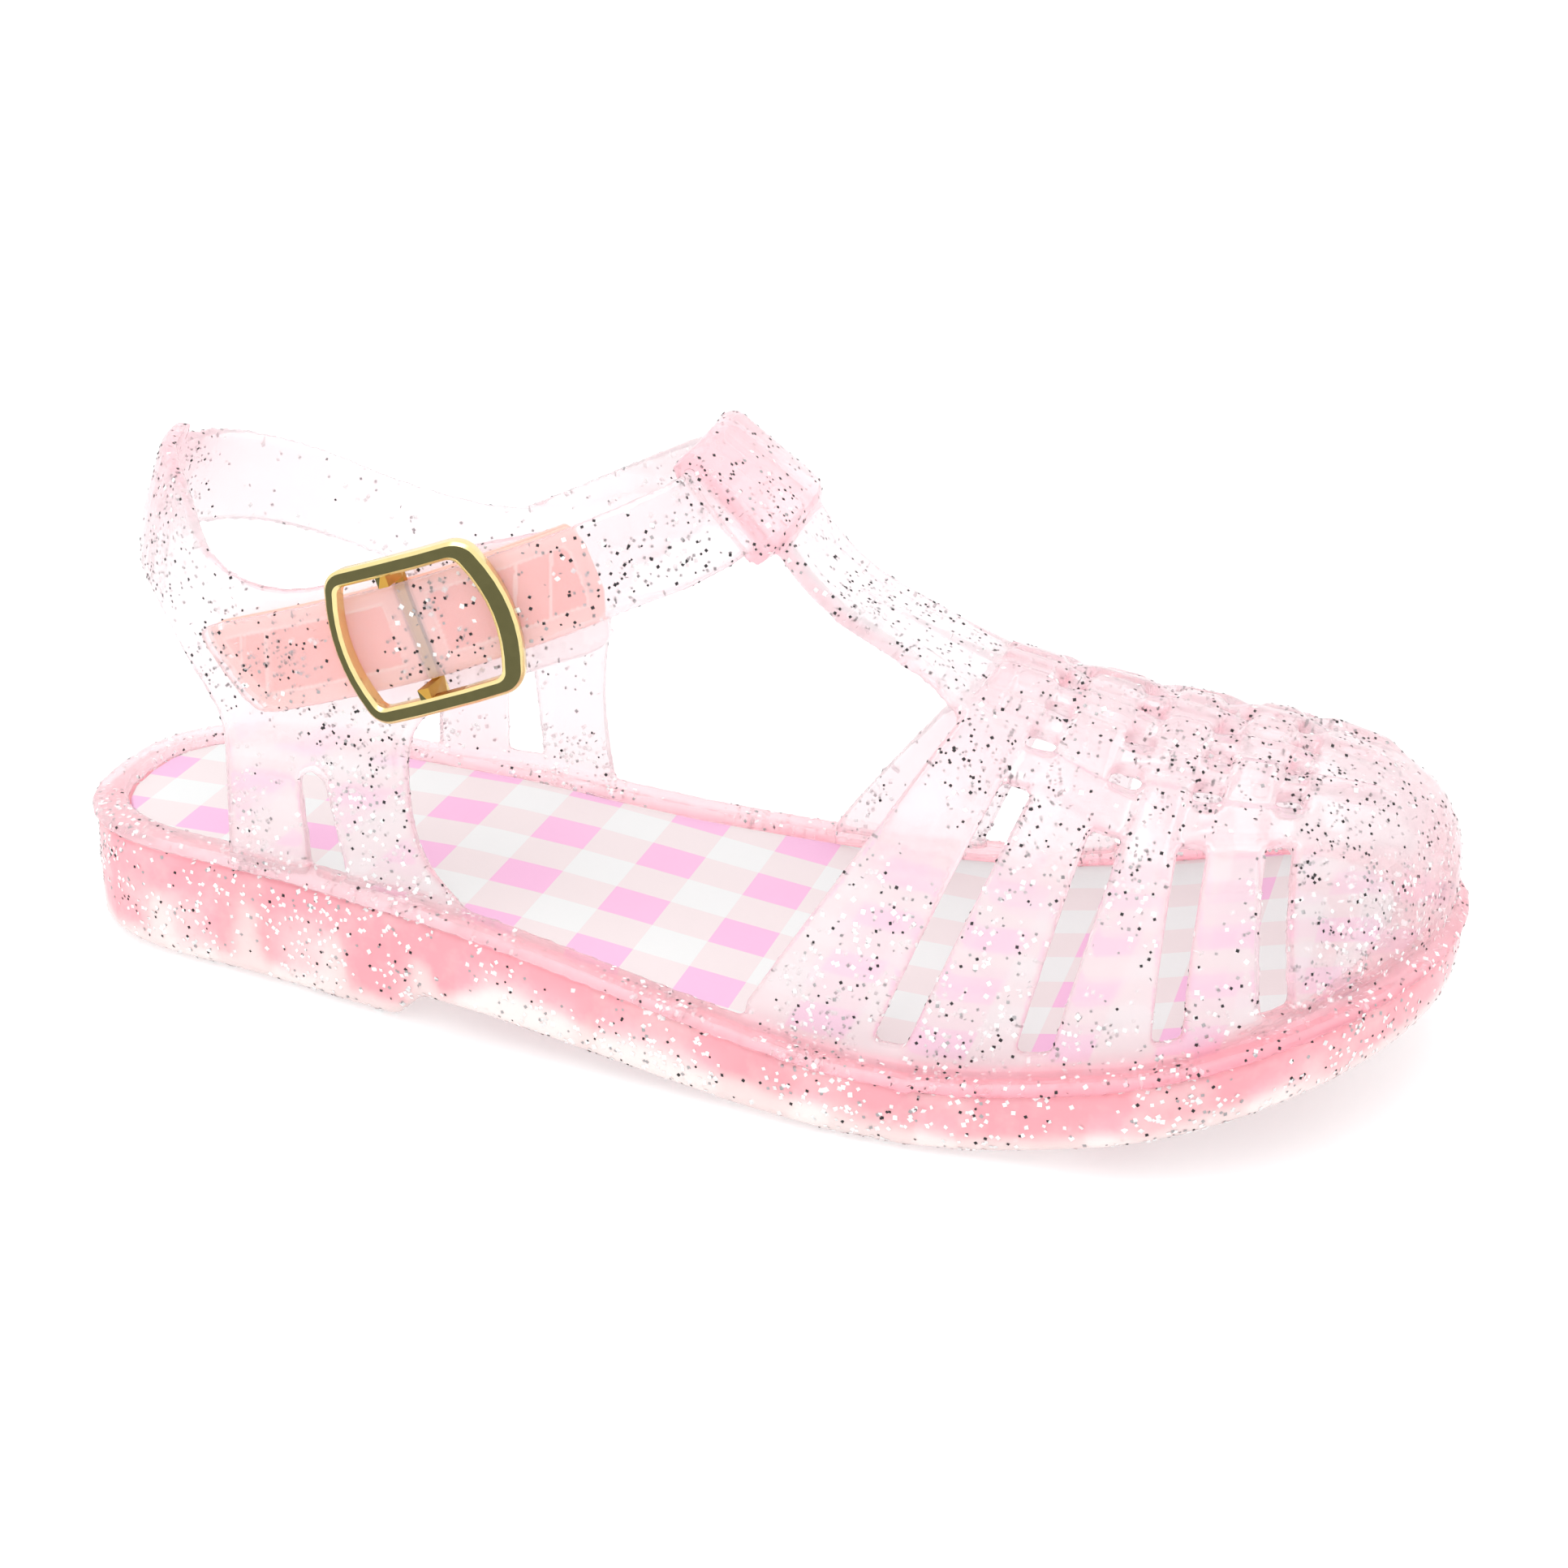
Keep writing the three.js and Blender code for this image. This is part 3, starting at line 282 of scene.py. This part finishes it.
upperLook = {
    "voxel": 0.42 * mm,
    "passes": 8,
    "faces": 190000,
    "walls": (2.6 * mm, 8.5 * mm),     # clear up to the first thickness, full tint from the second
    "blur": 3,
    "rimTints": (0.5, 0.9),            # at the heel and round the forefoot
    "weaveTint": 1.9,                  # the woven toe cap shows its tint more than the bands
    "weave": (60 * mm, 75 * mm),
    "rimHeight": 2.6 * mm,             # of the pinker rim above the sole's edge
    "rimFall": 1.3,                    # above 1 its lower part is pink all over
    "toeTint": 0.7,
    "toe": (139 * mm, 148 * mm),       # the tint of the toe starts and is full there
    "window": (124 * mm, 132 * mm),    # the toe's wall is clearer from here on
    "windowTop": (26 * mm, 34 * mm),
    "windowShare": 0.35,
    "heelTint": 0.6,
    "heel": (-5 * mm, -10 * mm),
    "heelTop": (50 * mm, 60 * mm),
    "paintedPaleSide": (3 * mm, 12 * mm),      # painted paleness: the tint fades out towards the far side's bands, which bright light washes out
    "milk": (0.90, 0.87, 0.88, 1.0),
    "blush": (0.95, 0.86, 0.88, 1.0),
    "deep": (1.0, 0.63, 0.69, 1.0),
    "rose": (1.0, 0.36, 0.45, 1.0),    # of the rim, more so round the forefoot
    "roseFrom": (30 * mm, 90 * mm),
    "roseShares": (0.25, 0.85),
    "patchy": 0.36,
    "clear": 0.72,
    "alpha": 0.80,                     # the rest of the light goes straight through
    "onward": 0.50,                    # taken off that for light that lights other pieces
    "ior": 1.3,
    "roughness": 0.12,
    "tint": (0.99, 0.62, 0.68, 1.0),   # what is left of white light after a long way through it
    "density": 32.0,
}
soleLook = {
    "voxel": 0.62 * mm,
    "passes": 5,
    "faces": 150000,
    "walls": (3.0 * mm, 12.0 * mm),
    "blur": 4,
    "bin": 2 * mm,                     # step of the lines that follow the sole's edges
    "binsAround": 2,                   # steps on each side that smooth them
    # height share of the clear strip, by mm along the sole
    "clearEdge": {-30: 0.14, 29: 0.14, 38: 0.48, 80: 0.44, 100: 0.34, 150: 0.34},
    "wobble": 0.14,                    # height share of the waves in its edge
    "wave": 7 * mm,
    "gap": 0.50,                       # height share that the clear gaps of the heel add to it
    "gapStep": 12.7 * mm,
    "gapPlace": 2.8 * mm,
    "gapShape": (3.0, 0.5),            # how steep their sides are, and how wide they are
    "gapEnd": (28 * mm, 34 * mm),
    "fade": 0.09,
    "cloud": 9 * mm,                   # size of the paler clouds in the pink
    "cloudShare": 0.5,
    "cloudShape": (0.35, 1.6, 0.9),    # their mean, contrast and most
    "thickTint": 0.3,                  # tint of the thick places below the pink
    "milk": (1.0, 0.96, 0.93, 1.0),
    "blush": (1.0, 0.90, 0.87, 1.0),
    "deep": (1.0, 0.47, 0.53, 1.0),
    "rose": (1.0, 0.47, 0.53, 1.0),
    "patchy": 0.0,
    "windowShare": 0.0,
    "clear": 0.30,
    "alpha": 0.92,
    "onward": 0.50,
    "ior": 1.3,
    "roughness": 0.15,
    "tint": (0.99, 0.62, 0.68, 1.0),
    "density": 24.0,
}


def thin(piece, faces):
    # Brings a piece under its share of triangles
    triangles = sum(len(polygon.vertices) - 2 for polygon in piece.data.polygons)
    if triangles > faces:
        decimate = piece.modifiers.new("thin", "DECIMATE")
        decimate.ratio = faces / triangles
        applyAll(piece)


sole = copyNode("outsole", "ribbedSole")
soften(sole, soleLook["voxel"], soleLook["passes"])
thin(sole, soleLook["faces"])
upper = copyNode("upper", "wovenUpper")
soften(upper, upperLook["voxel"], upperLook["passes"])
thin(upper, upperLook["faces"])


def edgeLine(places, pick):
    # The sole's lowest or highest points along its length
    start = places[:, 0].min()
    steps = ((places[:, 0] - start) / soleLook["bin"]).astype(int)
    line = np.array([pick(places[steps == step, 2]) for step in range(steps.max() + 1)])
    around = soleLook["binsAround"]
    width = 2 * around + 1
    line = np.convolve(np.pad(line, around, "edge"), np.ones(width) / width, "valid")
    middles = start + (np.arange(len(line)) + 0.5) * soleLook["bin"]
    return lambda x: np.interp(x, middles, line)


soleBottom = edgeLine(cornerPlaces(sole), np.min)
soleTop = edgeLine(cornerPlaces(sole), np.max)


def ramp(values, ends):
    return np.clip((values - ends[0]) / (ends[1] - ends[0]), 0.0, 1.0)


def clouds(places, size):
    return np.array([noise.noise(Vector(place) / size) for place in places])


def retintSole(places, depth):
    # Pink above a wavy line along the side, clear below it, with clear gaps round the heel
    x, z = places[:, 0], places[:, 2]
    share = (z - soleBottom(x)) / (soleTop(x) - soleBottom(x))
    marks = soleLook["clearEdge"]
    edge = np.interp(x / mm, list(marks), list(marks.values()))
    edge += soleLook["wobble"] * clouds(places, soleLook["wave"])
    wave = np.cos(2 * np.pi * (x - soleLook["gapPlace"]) / soleLook["gapStep"])
    steep, width = soleLook["gapShape"]
    gaps = np.clip(steep * (wave - width), 0.0, 1.0) * (1.0 - ramp(x, soleLook["gapEnd"]))
    edge += soleLook["gap"] * gaps
    pink = np.clip((share - edge) / soleLook["fade"] + 0.5, 0.0, 1.0)
    mean, contrast, most = soleLook["cloudShape"]
    pale = np.clip(mean + contrast * clouds(places, soleLook["cloud"]), 0.0, most)
    pink *= 1.0 - soleLook["cloudShare"] * pale
    return np.clip(soleLook["thickTint"] * depth * share + pink, 0.0, 1.0)


def retintUpper(places, depth):
    # The rim along the sole, the toe and the top of the heel are pinker than the bands
    x, z = places[:, 0], places[:, 2]
    rim = np.clip(upperLook["rimFall"] * (1.0 - (z - soleTop(x)) / upperLook["rimHeight"]), 0.0, 1.0)
    toe = upperLook["toeTint"] * ramp(x, upperLook["toe"])
    heel = upperLook["heelTint"] * ramp(x, upperLook["heel"]) * ramp(z, upperLook["heelTop"])
    storeShare(upper, "rim", rim * np.interp(x, upperLook["roseFrom"], upperLook["roseShares"]))
    rim = rim * np.interp(x, upperLook["roseFrom"], upperLook["rimTints"])
    offRim = rim < 0.01
    window = ramp(x, upperLook["window"]) * (1.0 - ramp(z, upperLook["windowTop"])) * offRim
    storeShare(upper, "window", window * (1.0 - ramp(x, upperLook["toe"])))
    weave = 1.0 + (upperLook["weaveTint"] - 1.0) * ramp(x, upperLook["weave"])
    depth = np.clip(depth * weave, 0.0, 1.0)
    # painted paleness of the far side's bands, washed out by bright light
    near = 1.0 - ramp(places[:, 1], upperLook["paintedPaleSide"]) * (x < upperLook["toe"][0]) * offRim
    return np.maximum(np.maximum(depth, rim), np.maximum(toe, heel)) * near


storeDepth(sole, soleLook, retintSole)
finishPiece(sole, makeClearPlastic("clearSolePlastic", soleLook), "sole_plastic", "outsole")
storeDepth(upper, upperLook, retintUpper)
finishPiece(upper, makeClearPlastic("clearPinkPlastic", upperLook), "upper_plastic", "upper")
print("clear plastic pieces made")

glitter = {
    "sizes": (0.23 * mm, 0.26 * mm, 0.35 * mm),   # half of a dark (painted dark reflection), a silver and a white (painted glint) flake's width
    "sizeSpread": (0.7, 1.2),
    "thickness": 0.2,                 # by its half width
    "skin": (-0.05 * mm, -0.02 * mm),   # depth of the flakes that show at the surface
    "skinTilt": 0.15,
    "depth": (0.3 * mm, 1.3 * mm),    # depth of the others
    "depthTilt": 1.0,
    "room": 0.75,                     # their least distance to the surface, by their half width
    "upperSkin": 15000,
    "upperInside": 5000,
    "soleSkin": 24000,
    "soleInside": 2500,
    "cluster": 9 * mm,
    "crowd": (0.62, 1.1),             # share of flakes that stay, and what the clusters change of it
    "paintedPaleSide": 9 * mm,                # beyond this the bands are painted paler, as bright light washes them out, with few flakes
    "farEnd": 100 * mm,
    "farHeight": 4 * mm,              # over the sole
    "lowZone": 14 * mm,               # height over the sole where white flakes, a painted glint, prevail
    "forefoot": 60 * mm,
    # share of flakes that stay, and shares of dark (painted dark reflection), silver and white (painted
    # glint) ones
    "farMix": (0.2, (0.20, 0.50, 0.30)),
    "forefootMix": (1.0, (0.32, 0.10, 0.58)),
    "heelMix": (0.9, (0.16, 0.16, 0.68)),
    "bandMix": (0.75, (0.72, 0.12, 0.16)),
    "soleMix": (1.0, (0.14, 0.16, 0.70)),
    "seed": 7,
}


def makeGlitterFinish(name, color, metallic, roughness):
    finish = Finish(name)
    shade = finish.noise(700.0, 1.0)
    finish.set(
        Base_Color=finish.mix(shade, tuple(0.6 * c for c in color[:3]) + (1.0,), color),
        Metallic=metallic,
        Roughness=roughness,
    )
    return finish.material


def scatterFlakes(name, piece, batches, rule, materials):
    # Flat four-cornered grains under and at the surface of a piece, in clusters
    rng = random.Random(glitter["seed"])
    mesh = piece.data
    mesh.calc_loop_triangles()
    tree = BVHTree.FromObject(piece, bpy.context.evaluated_depsgraph_get())
    triangles = [t.vertices[:] for t in mesh.loop_triangles]
    areas = [t.area for t in mesh.loop_triangles]
    corners = [v.co.copy() for v in mesh.vertices]
    crowdMean, crowdSwing = glitter["crowd"]
    build = bmesh.new()
    made = 0
    for count, depth, spread in batches:
        for a, b, c in rng.choices(triangles, weights=areas, k=count):
            u = math.sqrt(rng.random())
            v = rng.random()
            pa, pb, pc = corners[a], corners[b], corners[c]
            spot = pa * (1 - u) + pb * (u * (1 - v)) + pc * (u * v)
            keep, shares = rule(spot)
            crowd = crowdMean + crowdSwing * noise.noise(spot / glitter["cluster"])
            if rng.random() > keep * crowd:
                continue
            normal = (pb - pa).cross(pc - pa).normalized()
            inward = rng.uniform(*depth)
            centre = spot - normal * inward
            kind = rng.choices(range(len(materials)), weights=shares)[0]
            size = glitter["sizes"][kind] * rng.uniform(*glitter["sizeSpread"])
            if inward > 0:
                near, nearNormal, _, gap = tree.find_nearest(centre)
                if gap < size * glitter["room"] or (near - centre).dot(nearNormal) < 0:
                    continue
            tilt = (normal + Vector([rng.gauss(0, spread) for _ in range(3)])).normalized()
            side = tilt.orthogonal().normalized()
            side.rotate(Matrix.Rotation(rng.uniform(0, math.pi), 3, tilt))
            other = tilt.cross(side)
            ring = []
            for k in range(4):
                turn = k * math.pi / 2
                outward = side * math.cos(turn) + other * math.sin(turn)
                ring.append(build.verts.new(centre + size * outward))
            top = build.verts.new(centre + tilt * size * glitter["thickness"])
            low = build.verts.new(centre - tilt * size * glitter["thickness"])
            for k in range(4):
                for face in (build.faces.new((ring[k], ring[(k + 1) % 4], top)),
                             build.faces.new((ring[(k + 1) % 4], ring[k], low))):
                    face.material_index = kind
            made += 1
    flakes = bpy.data.objects.new(name, bpy.data.meshes.new(name))
    build.to_mesh(flakes.data)
    build.free()
    bpy.context.scene.collection.objects.link(flakes)
    for material in materials:
        flakes.data.materials.append(material)
    print(name, made, "flakes")
    return flakes


glitterFinishes = [
    # Silver flakes, with dark ones as their painted dark reflection and white ones as their painted glint
    makeGlitterFinish("paintedDarkReflectionGlitter", (0.012, 0.01, 0.012, 1.0), 0.0, 0.6),
    makeGlitterFinish("silverGlitter", (0.50, 0.48, 0.49, 1.0), 0.8, 0.35),
    makeGlitterFinish("paintedGlintGlitter", (1.0, 1.0, 1.0, 1.0), 0.0, 0.5),
]
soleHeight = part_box("outsole")[1].z


def upperRule(spot):
    # The mix of flakes at a place: where painted glints and where painted dark reflections prevail
    # the far side's bands get the painted paleness of bright light, with few flakes
    far = spot.y > glitter["paintedPaleSide"] and spot.x < glitter["farEnd"]
    if far and spot.z > soleHeight + glitter["farHeight"]:
        return glitter["farMix"]
    if spot.z < soleHeight + glitter["lowZone"]:
        return glitter["forefootMix"] if spot.x > glitter["forefoot"] else glitter["heelMix"]
    return glitter["bandMix"]


def soleRule(spot):
    return glitter["soleMix"]


upperFlakes = scatterFlakes(
    "upperGlitter", upper,
    [(glitter["upperSkin"], glitter["skin"], glitter["skinTilt"]),
     (glitter["upperInside"], glitter["depth"], glitter["depthTilt"])],
    upperRule, glitterFinishes)
finishPiece(upperFlakes, None, "upper_plastic", smooth=False)
soleFlakes = scatterFlakes(
    "soleGlitter", sole,
    [(glitter["soleSkin"], glitter["skin"], glitter["skinTilt"]),
     (glitter["soleInside"], glitter["depth"], glitter["depthTilt"])],
    soleRule, glitterFinishes)
finishPiece(soleFlakes, None, "sole_plastic", smooth=False)
print("glitter made")

insoleLook = {
    "bevel": 0.5 * mm,
    "bevelAngle": 40,
    "period": 13.97 * mm,
    "squareX": 20.9 * mm,            # centre of one full-colour square
    "squareY": 19.0 * mm,
    "full": (0.77, 0.41, 0.625, 1.0),
    "half": (0.71, 0.625, 0.63, 1.0),
    "plain": (0.70, 0.715, 0.71, 1.0),
    "dust": (0.74, 0.71, 0.73, 1.0),
    "dustShare": 0.15,
}


def makeGingham():
    finish = Finish("ginghamPrint")
    place = finish.place()
    along = finish.node("ShaderNodeSeparateXYZ", Vector=place)
    across = finish.node("ShaderNodeSeparateXYZ", out=1, Vector=place)

    def stripe(coordinate, centre):
        phase = ((coordinate - centre) / insoleLook["period"] + 0.25).math("FRACT")
        return phase < 0.5

    first = stripe(along, insoleLook["squareX"])
    second = stripe(across, insoleLook["squareY"])
    weave = finish.noise(1600.0, 2.0)
    cloud = finish.noise(60.0, 3.0)
    half = finish.mix(first.math("MAXIMUM", second), insoleLook["plain"], insoleLook["half"])
    full = finish.mix(first * second, half, insoleLook["full"])
    shade = finish.mix(cloud * insoleLook["dustShare"], full, insoleLook["dust"])
    finish.set(
        Base_Color=shade,
        Roughness=0.6 + 0.2 * cloud,
        Normal=finish.bump(weave, 0.25, 0.1 * mm),
    )
    return finish.material


insole = copyNode("insole", "checkedInsole")
bevelEdges(insole, insoleLook["bevel"], insoleLook["bevelAngle"])
finishPiece(insole, makeGingham(), "insole_print", "insole", smooth=False)
print("insole made")

tapeLook = {
    "voxel": 0.22 * mm,
    "passes": 4,
    "front": 0.55,                     # a normal this far towards the strap is on the front
    "side": 0.3,                       # and one less far to either side is on the edge
    "border": 1.7 * mm,
    "line": 0.36 * mm,
    "raise": 0.08 * mm,
    "crossLines": {                    # mm from the patch's end
        "strapPatchFront": (5.4, 9.0),
        "strapPatchRear": (4.6, 8.0),
        "tabPatch": (6.0,),
    },
    "margin": (0.98, 0.46, 0.39, 1.0),
    "middle": (0.97, 0.25, 0.19, 1.0),
    "ridge": (1.0, 0.62, 0.56, 1.0),
}


def makeTape():
    finish = Finish("salmonTape")
    cloud = finish.noise(400.0, 3.0)
    fluff = finish.noise(2500.0, 2.0)
    middle = finish.attribute("middle")
    ridge = finish.attribute("ridge")
    color = finish.mix(middle, tapeLook["margin"], tapeLook["middle"])
    color = finish.mix(ridge, color, tapeLook["ridge"])
    finish.set(
        Base_Color=finish.mix(cloud * 0.3, color, tapeLook["ridge"]),
        Roughness=0.75,
        Sheen_Weight=0.3,
        Normal=finish.bump(fluff, 0.4, 0.1 * mm),
    )
    return finish.material


def makePatch(nodeName, pieceName, material):
    # The face towards the strap gets a darker middle, framed and crossed by raised lines
    patch = copyNode(nodeName, pieceName)
    soften(patch, tapeLook["voxel"], tapeLook["passes"])
    places = cornerPlaces(patch)
    normals = np.array([vertex.normal for vertex in patch.data.vertices])
    front = normals[:, 1] < -tapeLook["front"]
    border = places[np.abs(normals[:, 1]) < tapeLook["side"]]
    edgeTree = KDTree(len(border))
    for index, place in enumerate(border):
        edgeTree.insert(place, index)
    edgeTree.balance()
    toEdge = np.zeros(len(places))
    for index in np.flatnonzero(front):
        toEdge[index] = edgeTree.find(places[index])[2]
    end = places[:, 0].max() if pieceName == "strapPatchFront" else places[:, 0].min()
    fromEnd = np.abs(places[:, 0] - end)
    line = tapeLook["line"]
    inside = toEdge > tapeLook["border"]
    ridge = inside & (toEdge < tapeLook["border"] + line)
    for reach in tapeLook["crossLines"][pieceName]:
        ridge |= inside & (np.abs(fromEnd - reach * mm) < line / 2)
    places[ridge] += normals[ridge] * tapeLook["raise"]
    patch.data.vertices.foreach_set("co", places.ravel())
    for name, values in (("middle", inside), ("ridge", ridge)):
        storeShare(patch, name, values)
    patch.data.update()
    slot = "hook_tape" if "strap" in nodeName else "loop_tape"
    return finishPiece(patch, material, slot, nodeName)


tape = makeTape()
makePatch("strap_patch_front", "strapPatchFront", tape)
makePatch("strap_patch_rear", "strapPatchRear", tape)
makePatch("tab_patch", "tabPatch", tape)
print("patches made")

buckleLook = {
    "bevel": 0.10 * mm,
    "bevelAngle": 35,
    "faceNormal": -0.9,             # the frame's large faces towards the eye get a painted dark reflection
    "faceArea": 0.06 * mm * mm,
    "edge": (0.90, 0.76, 0.36, 1.0),
    "bar": (0.60, 0.34, 0.07, 1.0),
    "hole": 7.7 * mm,               # the centre bar and its ends lie within this of the middle
    # colour of the painted dark reflection on the faces towards the eye
    "face": (0.125, 0.115, 0.050, 1.0),
}


def makeGold(name, color, roughness):
    finish = Finish(name)
    scuff = finish.noise(900.0, 4.0)
    finish.set(
        Base_Color=finish.mix(scuff * 0.5, color, tuple(0.7 * c for c in color[:3]) + (1.0,)),
        Metallic=1.0,
        Roughness=roughness + 0.15 * scuff,
        Normal=finish.bump(scuff, 0.05, 0.05 * mm),
    )
    return finish.material


buckle = copyNode("buckle", "goldBuckle")
bevelEdges(buckle, buckleLook["bevel"], buckleLook["bevelAngle"])
buckle.data.materials.append(makeGold("brightGold", buckleLook["edge"], 0.15))
# the second finish is a painted dark reflection for the faces towards the eye
buckle.data.materials.append(makeGold("paintedDarkReflectionGold", buckleLook["face"], 0.30))
buckle.data.materials.append(makeGold("deepGoldBar", buckleLook["bar"], 0.30))
buckleMiddle = (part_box("buckle")[0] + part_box("buckle")[1]) / 2
for polygon in buckle.data.polygons:
    if (polygon.center - buckleMiddle).length < buckleLook["hole"]:
        polygon.material_index = 2
    # faces towards the eye: painted dark reflection
    elif polygon.normal.y < buckleLook["faceNormal"] and polygon.area > buckleLook["faceArea"]:
        polygon.material_index = 1
finishPiece(buckle, None, "buckle_metal", "buckle", smooth=False)
print("buckle made")

studio = {
    "floorSize": 6.0,
    "floorPlace": (0.05, 0.0, -0.0002),
    "floor": (0.55, 0.55, 0.55, 1.0),
    "floorGlow": 0.45,                # a lit table, so that shadows stay faint
    "world": 1.2,
    "keyPower": 2.2,
    "keyPlace": (0.02, -0.35, 0.75),
    "keyAim": (0.06, 0.0, 0.0),
    "keySize": 0.6,
}

bpy.ops.object.select_all(action="DESELECT")
bpy.ops.mesh.primitive_plane_add(size=studio["floorSize"], location=studio["floorPlace"])
floor = bpy.context.object
floor.name = "floor"
floorFinish = Finish("paleFloor")
floorFinish.set(Base_Color=studio["floor"], Roughness=0.7, Emission_Color=(1.0, 1.0, 1.0, 1.0),
                Emission_Strength=studio["floorGlow"])
floor.data.materials.append(floorFinish.material)

world = bpy.data.worlds.new("studioWorld")
bpy.context.scene.world = world
world.use_nodes = True
background = world.node_tree.nodes["Background"]
background.inputs["Color"].default_value = (1.0, 1.0, 1.0, 1.0)
background.inputs["Strength"].default_value = studio["world"]

bpy.ops.object.light_add(type="AREA", location=studio["keyPlace"])
key = bpy.context.object
key.data.energy = studio["keyPower"]
key.data.size = studio["keySize"]
keyWay = Vector(studio["keyAim"]) - key.location
key.rotation_euler = keyWay.to_track_quat("-Z", "Y").to_euler()

camera = {
    "azimuth": 15.6,
    "elevation": 22.8,
    "roll": 2.05,
    "distance": 350 * mm,
    "target": Vector((64.6 * mm, 0.0, 27.0 * mm)),
    "focalPixels": 3580.0,
    "frameWidth": 1932.0,
    "sensor": 36.0,
}


def makeCamera():
    azimuth, elevation, roll = (math.radians(camera[k]) for k in ("azimuth", "elevation", "roll"))
    level = math.cos(elevation)
    back = Vector((math.sin(azimuth) * level, -math.cos(azimuth) * level, math.sin(elevation)))
    data = bpy.data.cameras.new("camera")
    data.sensor_width = camera["sensor"]
    data.lens = data.sensor_width * camera["focalPixels"] / camera["frameWidth"]
    data.clip_start = 0.01
    view = bpy.data.objects.new("camera", data)
    bpy.context.scene.collection.objects.link(view)
    view.location = camera["target"] + back * camera["distance"]
    turn = (-back).to_track_quat("-Z", "Y").to_matrix().to_4x4()
    turn = turn @ Matrix.Rotation(roll, 4, "Z")
    view.rotation_euler = turn.to_euler()
    bpy.context.scene.camera = view


makeCamera()
bpy.context.scene.view_settings.view_transform = "Standard"
print("studio made")
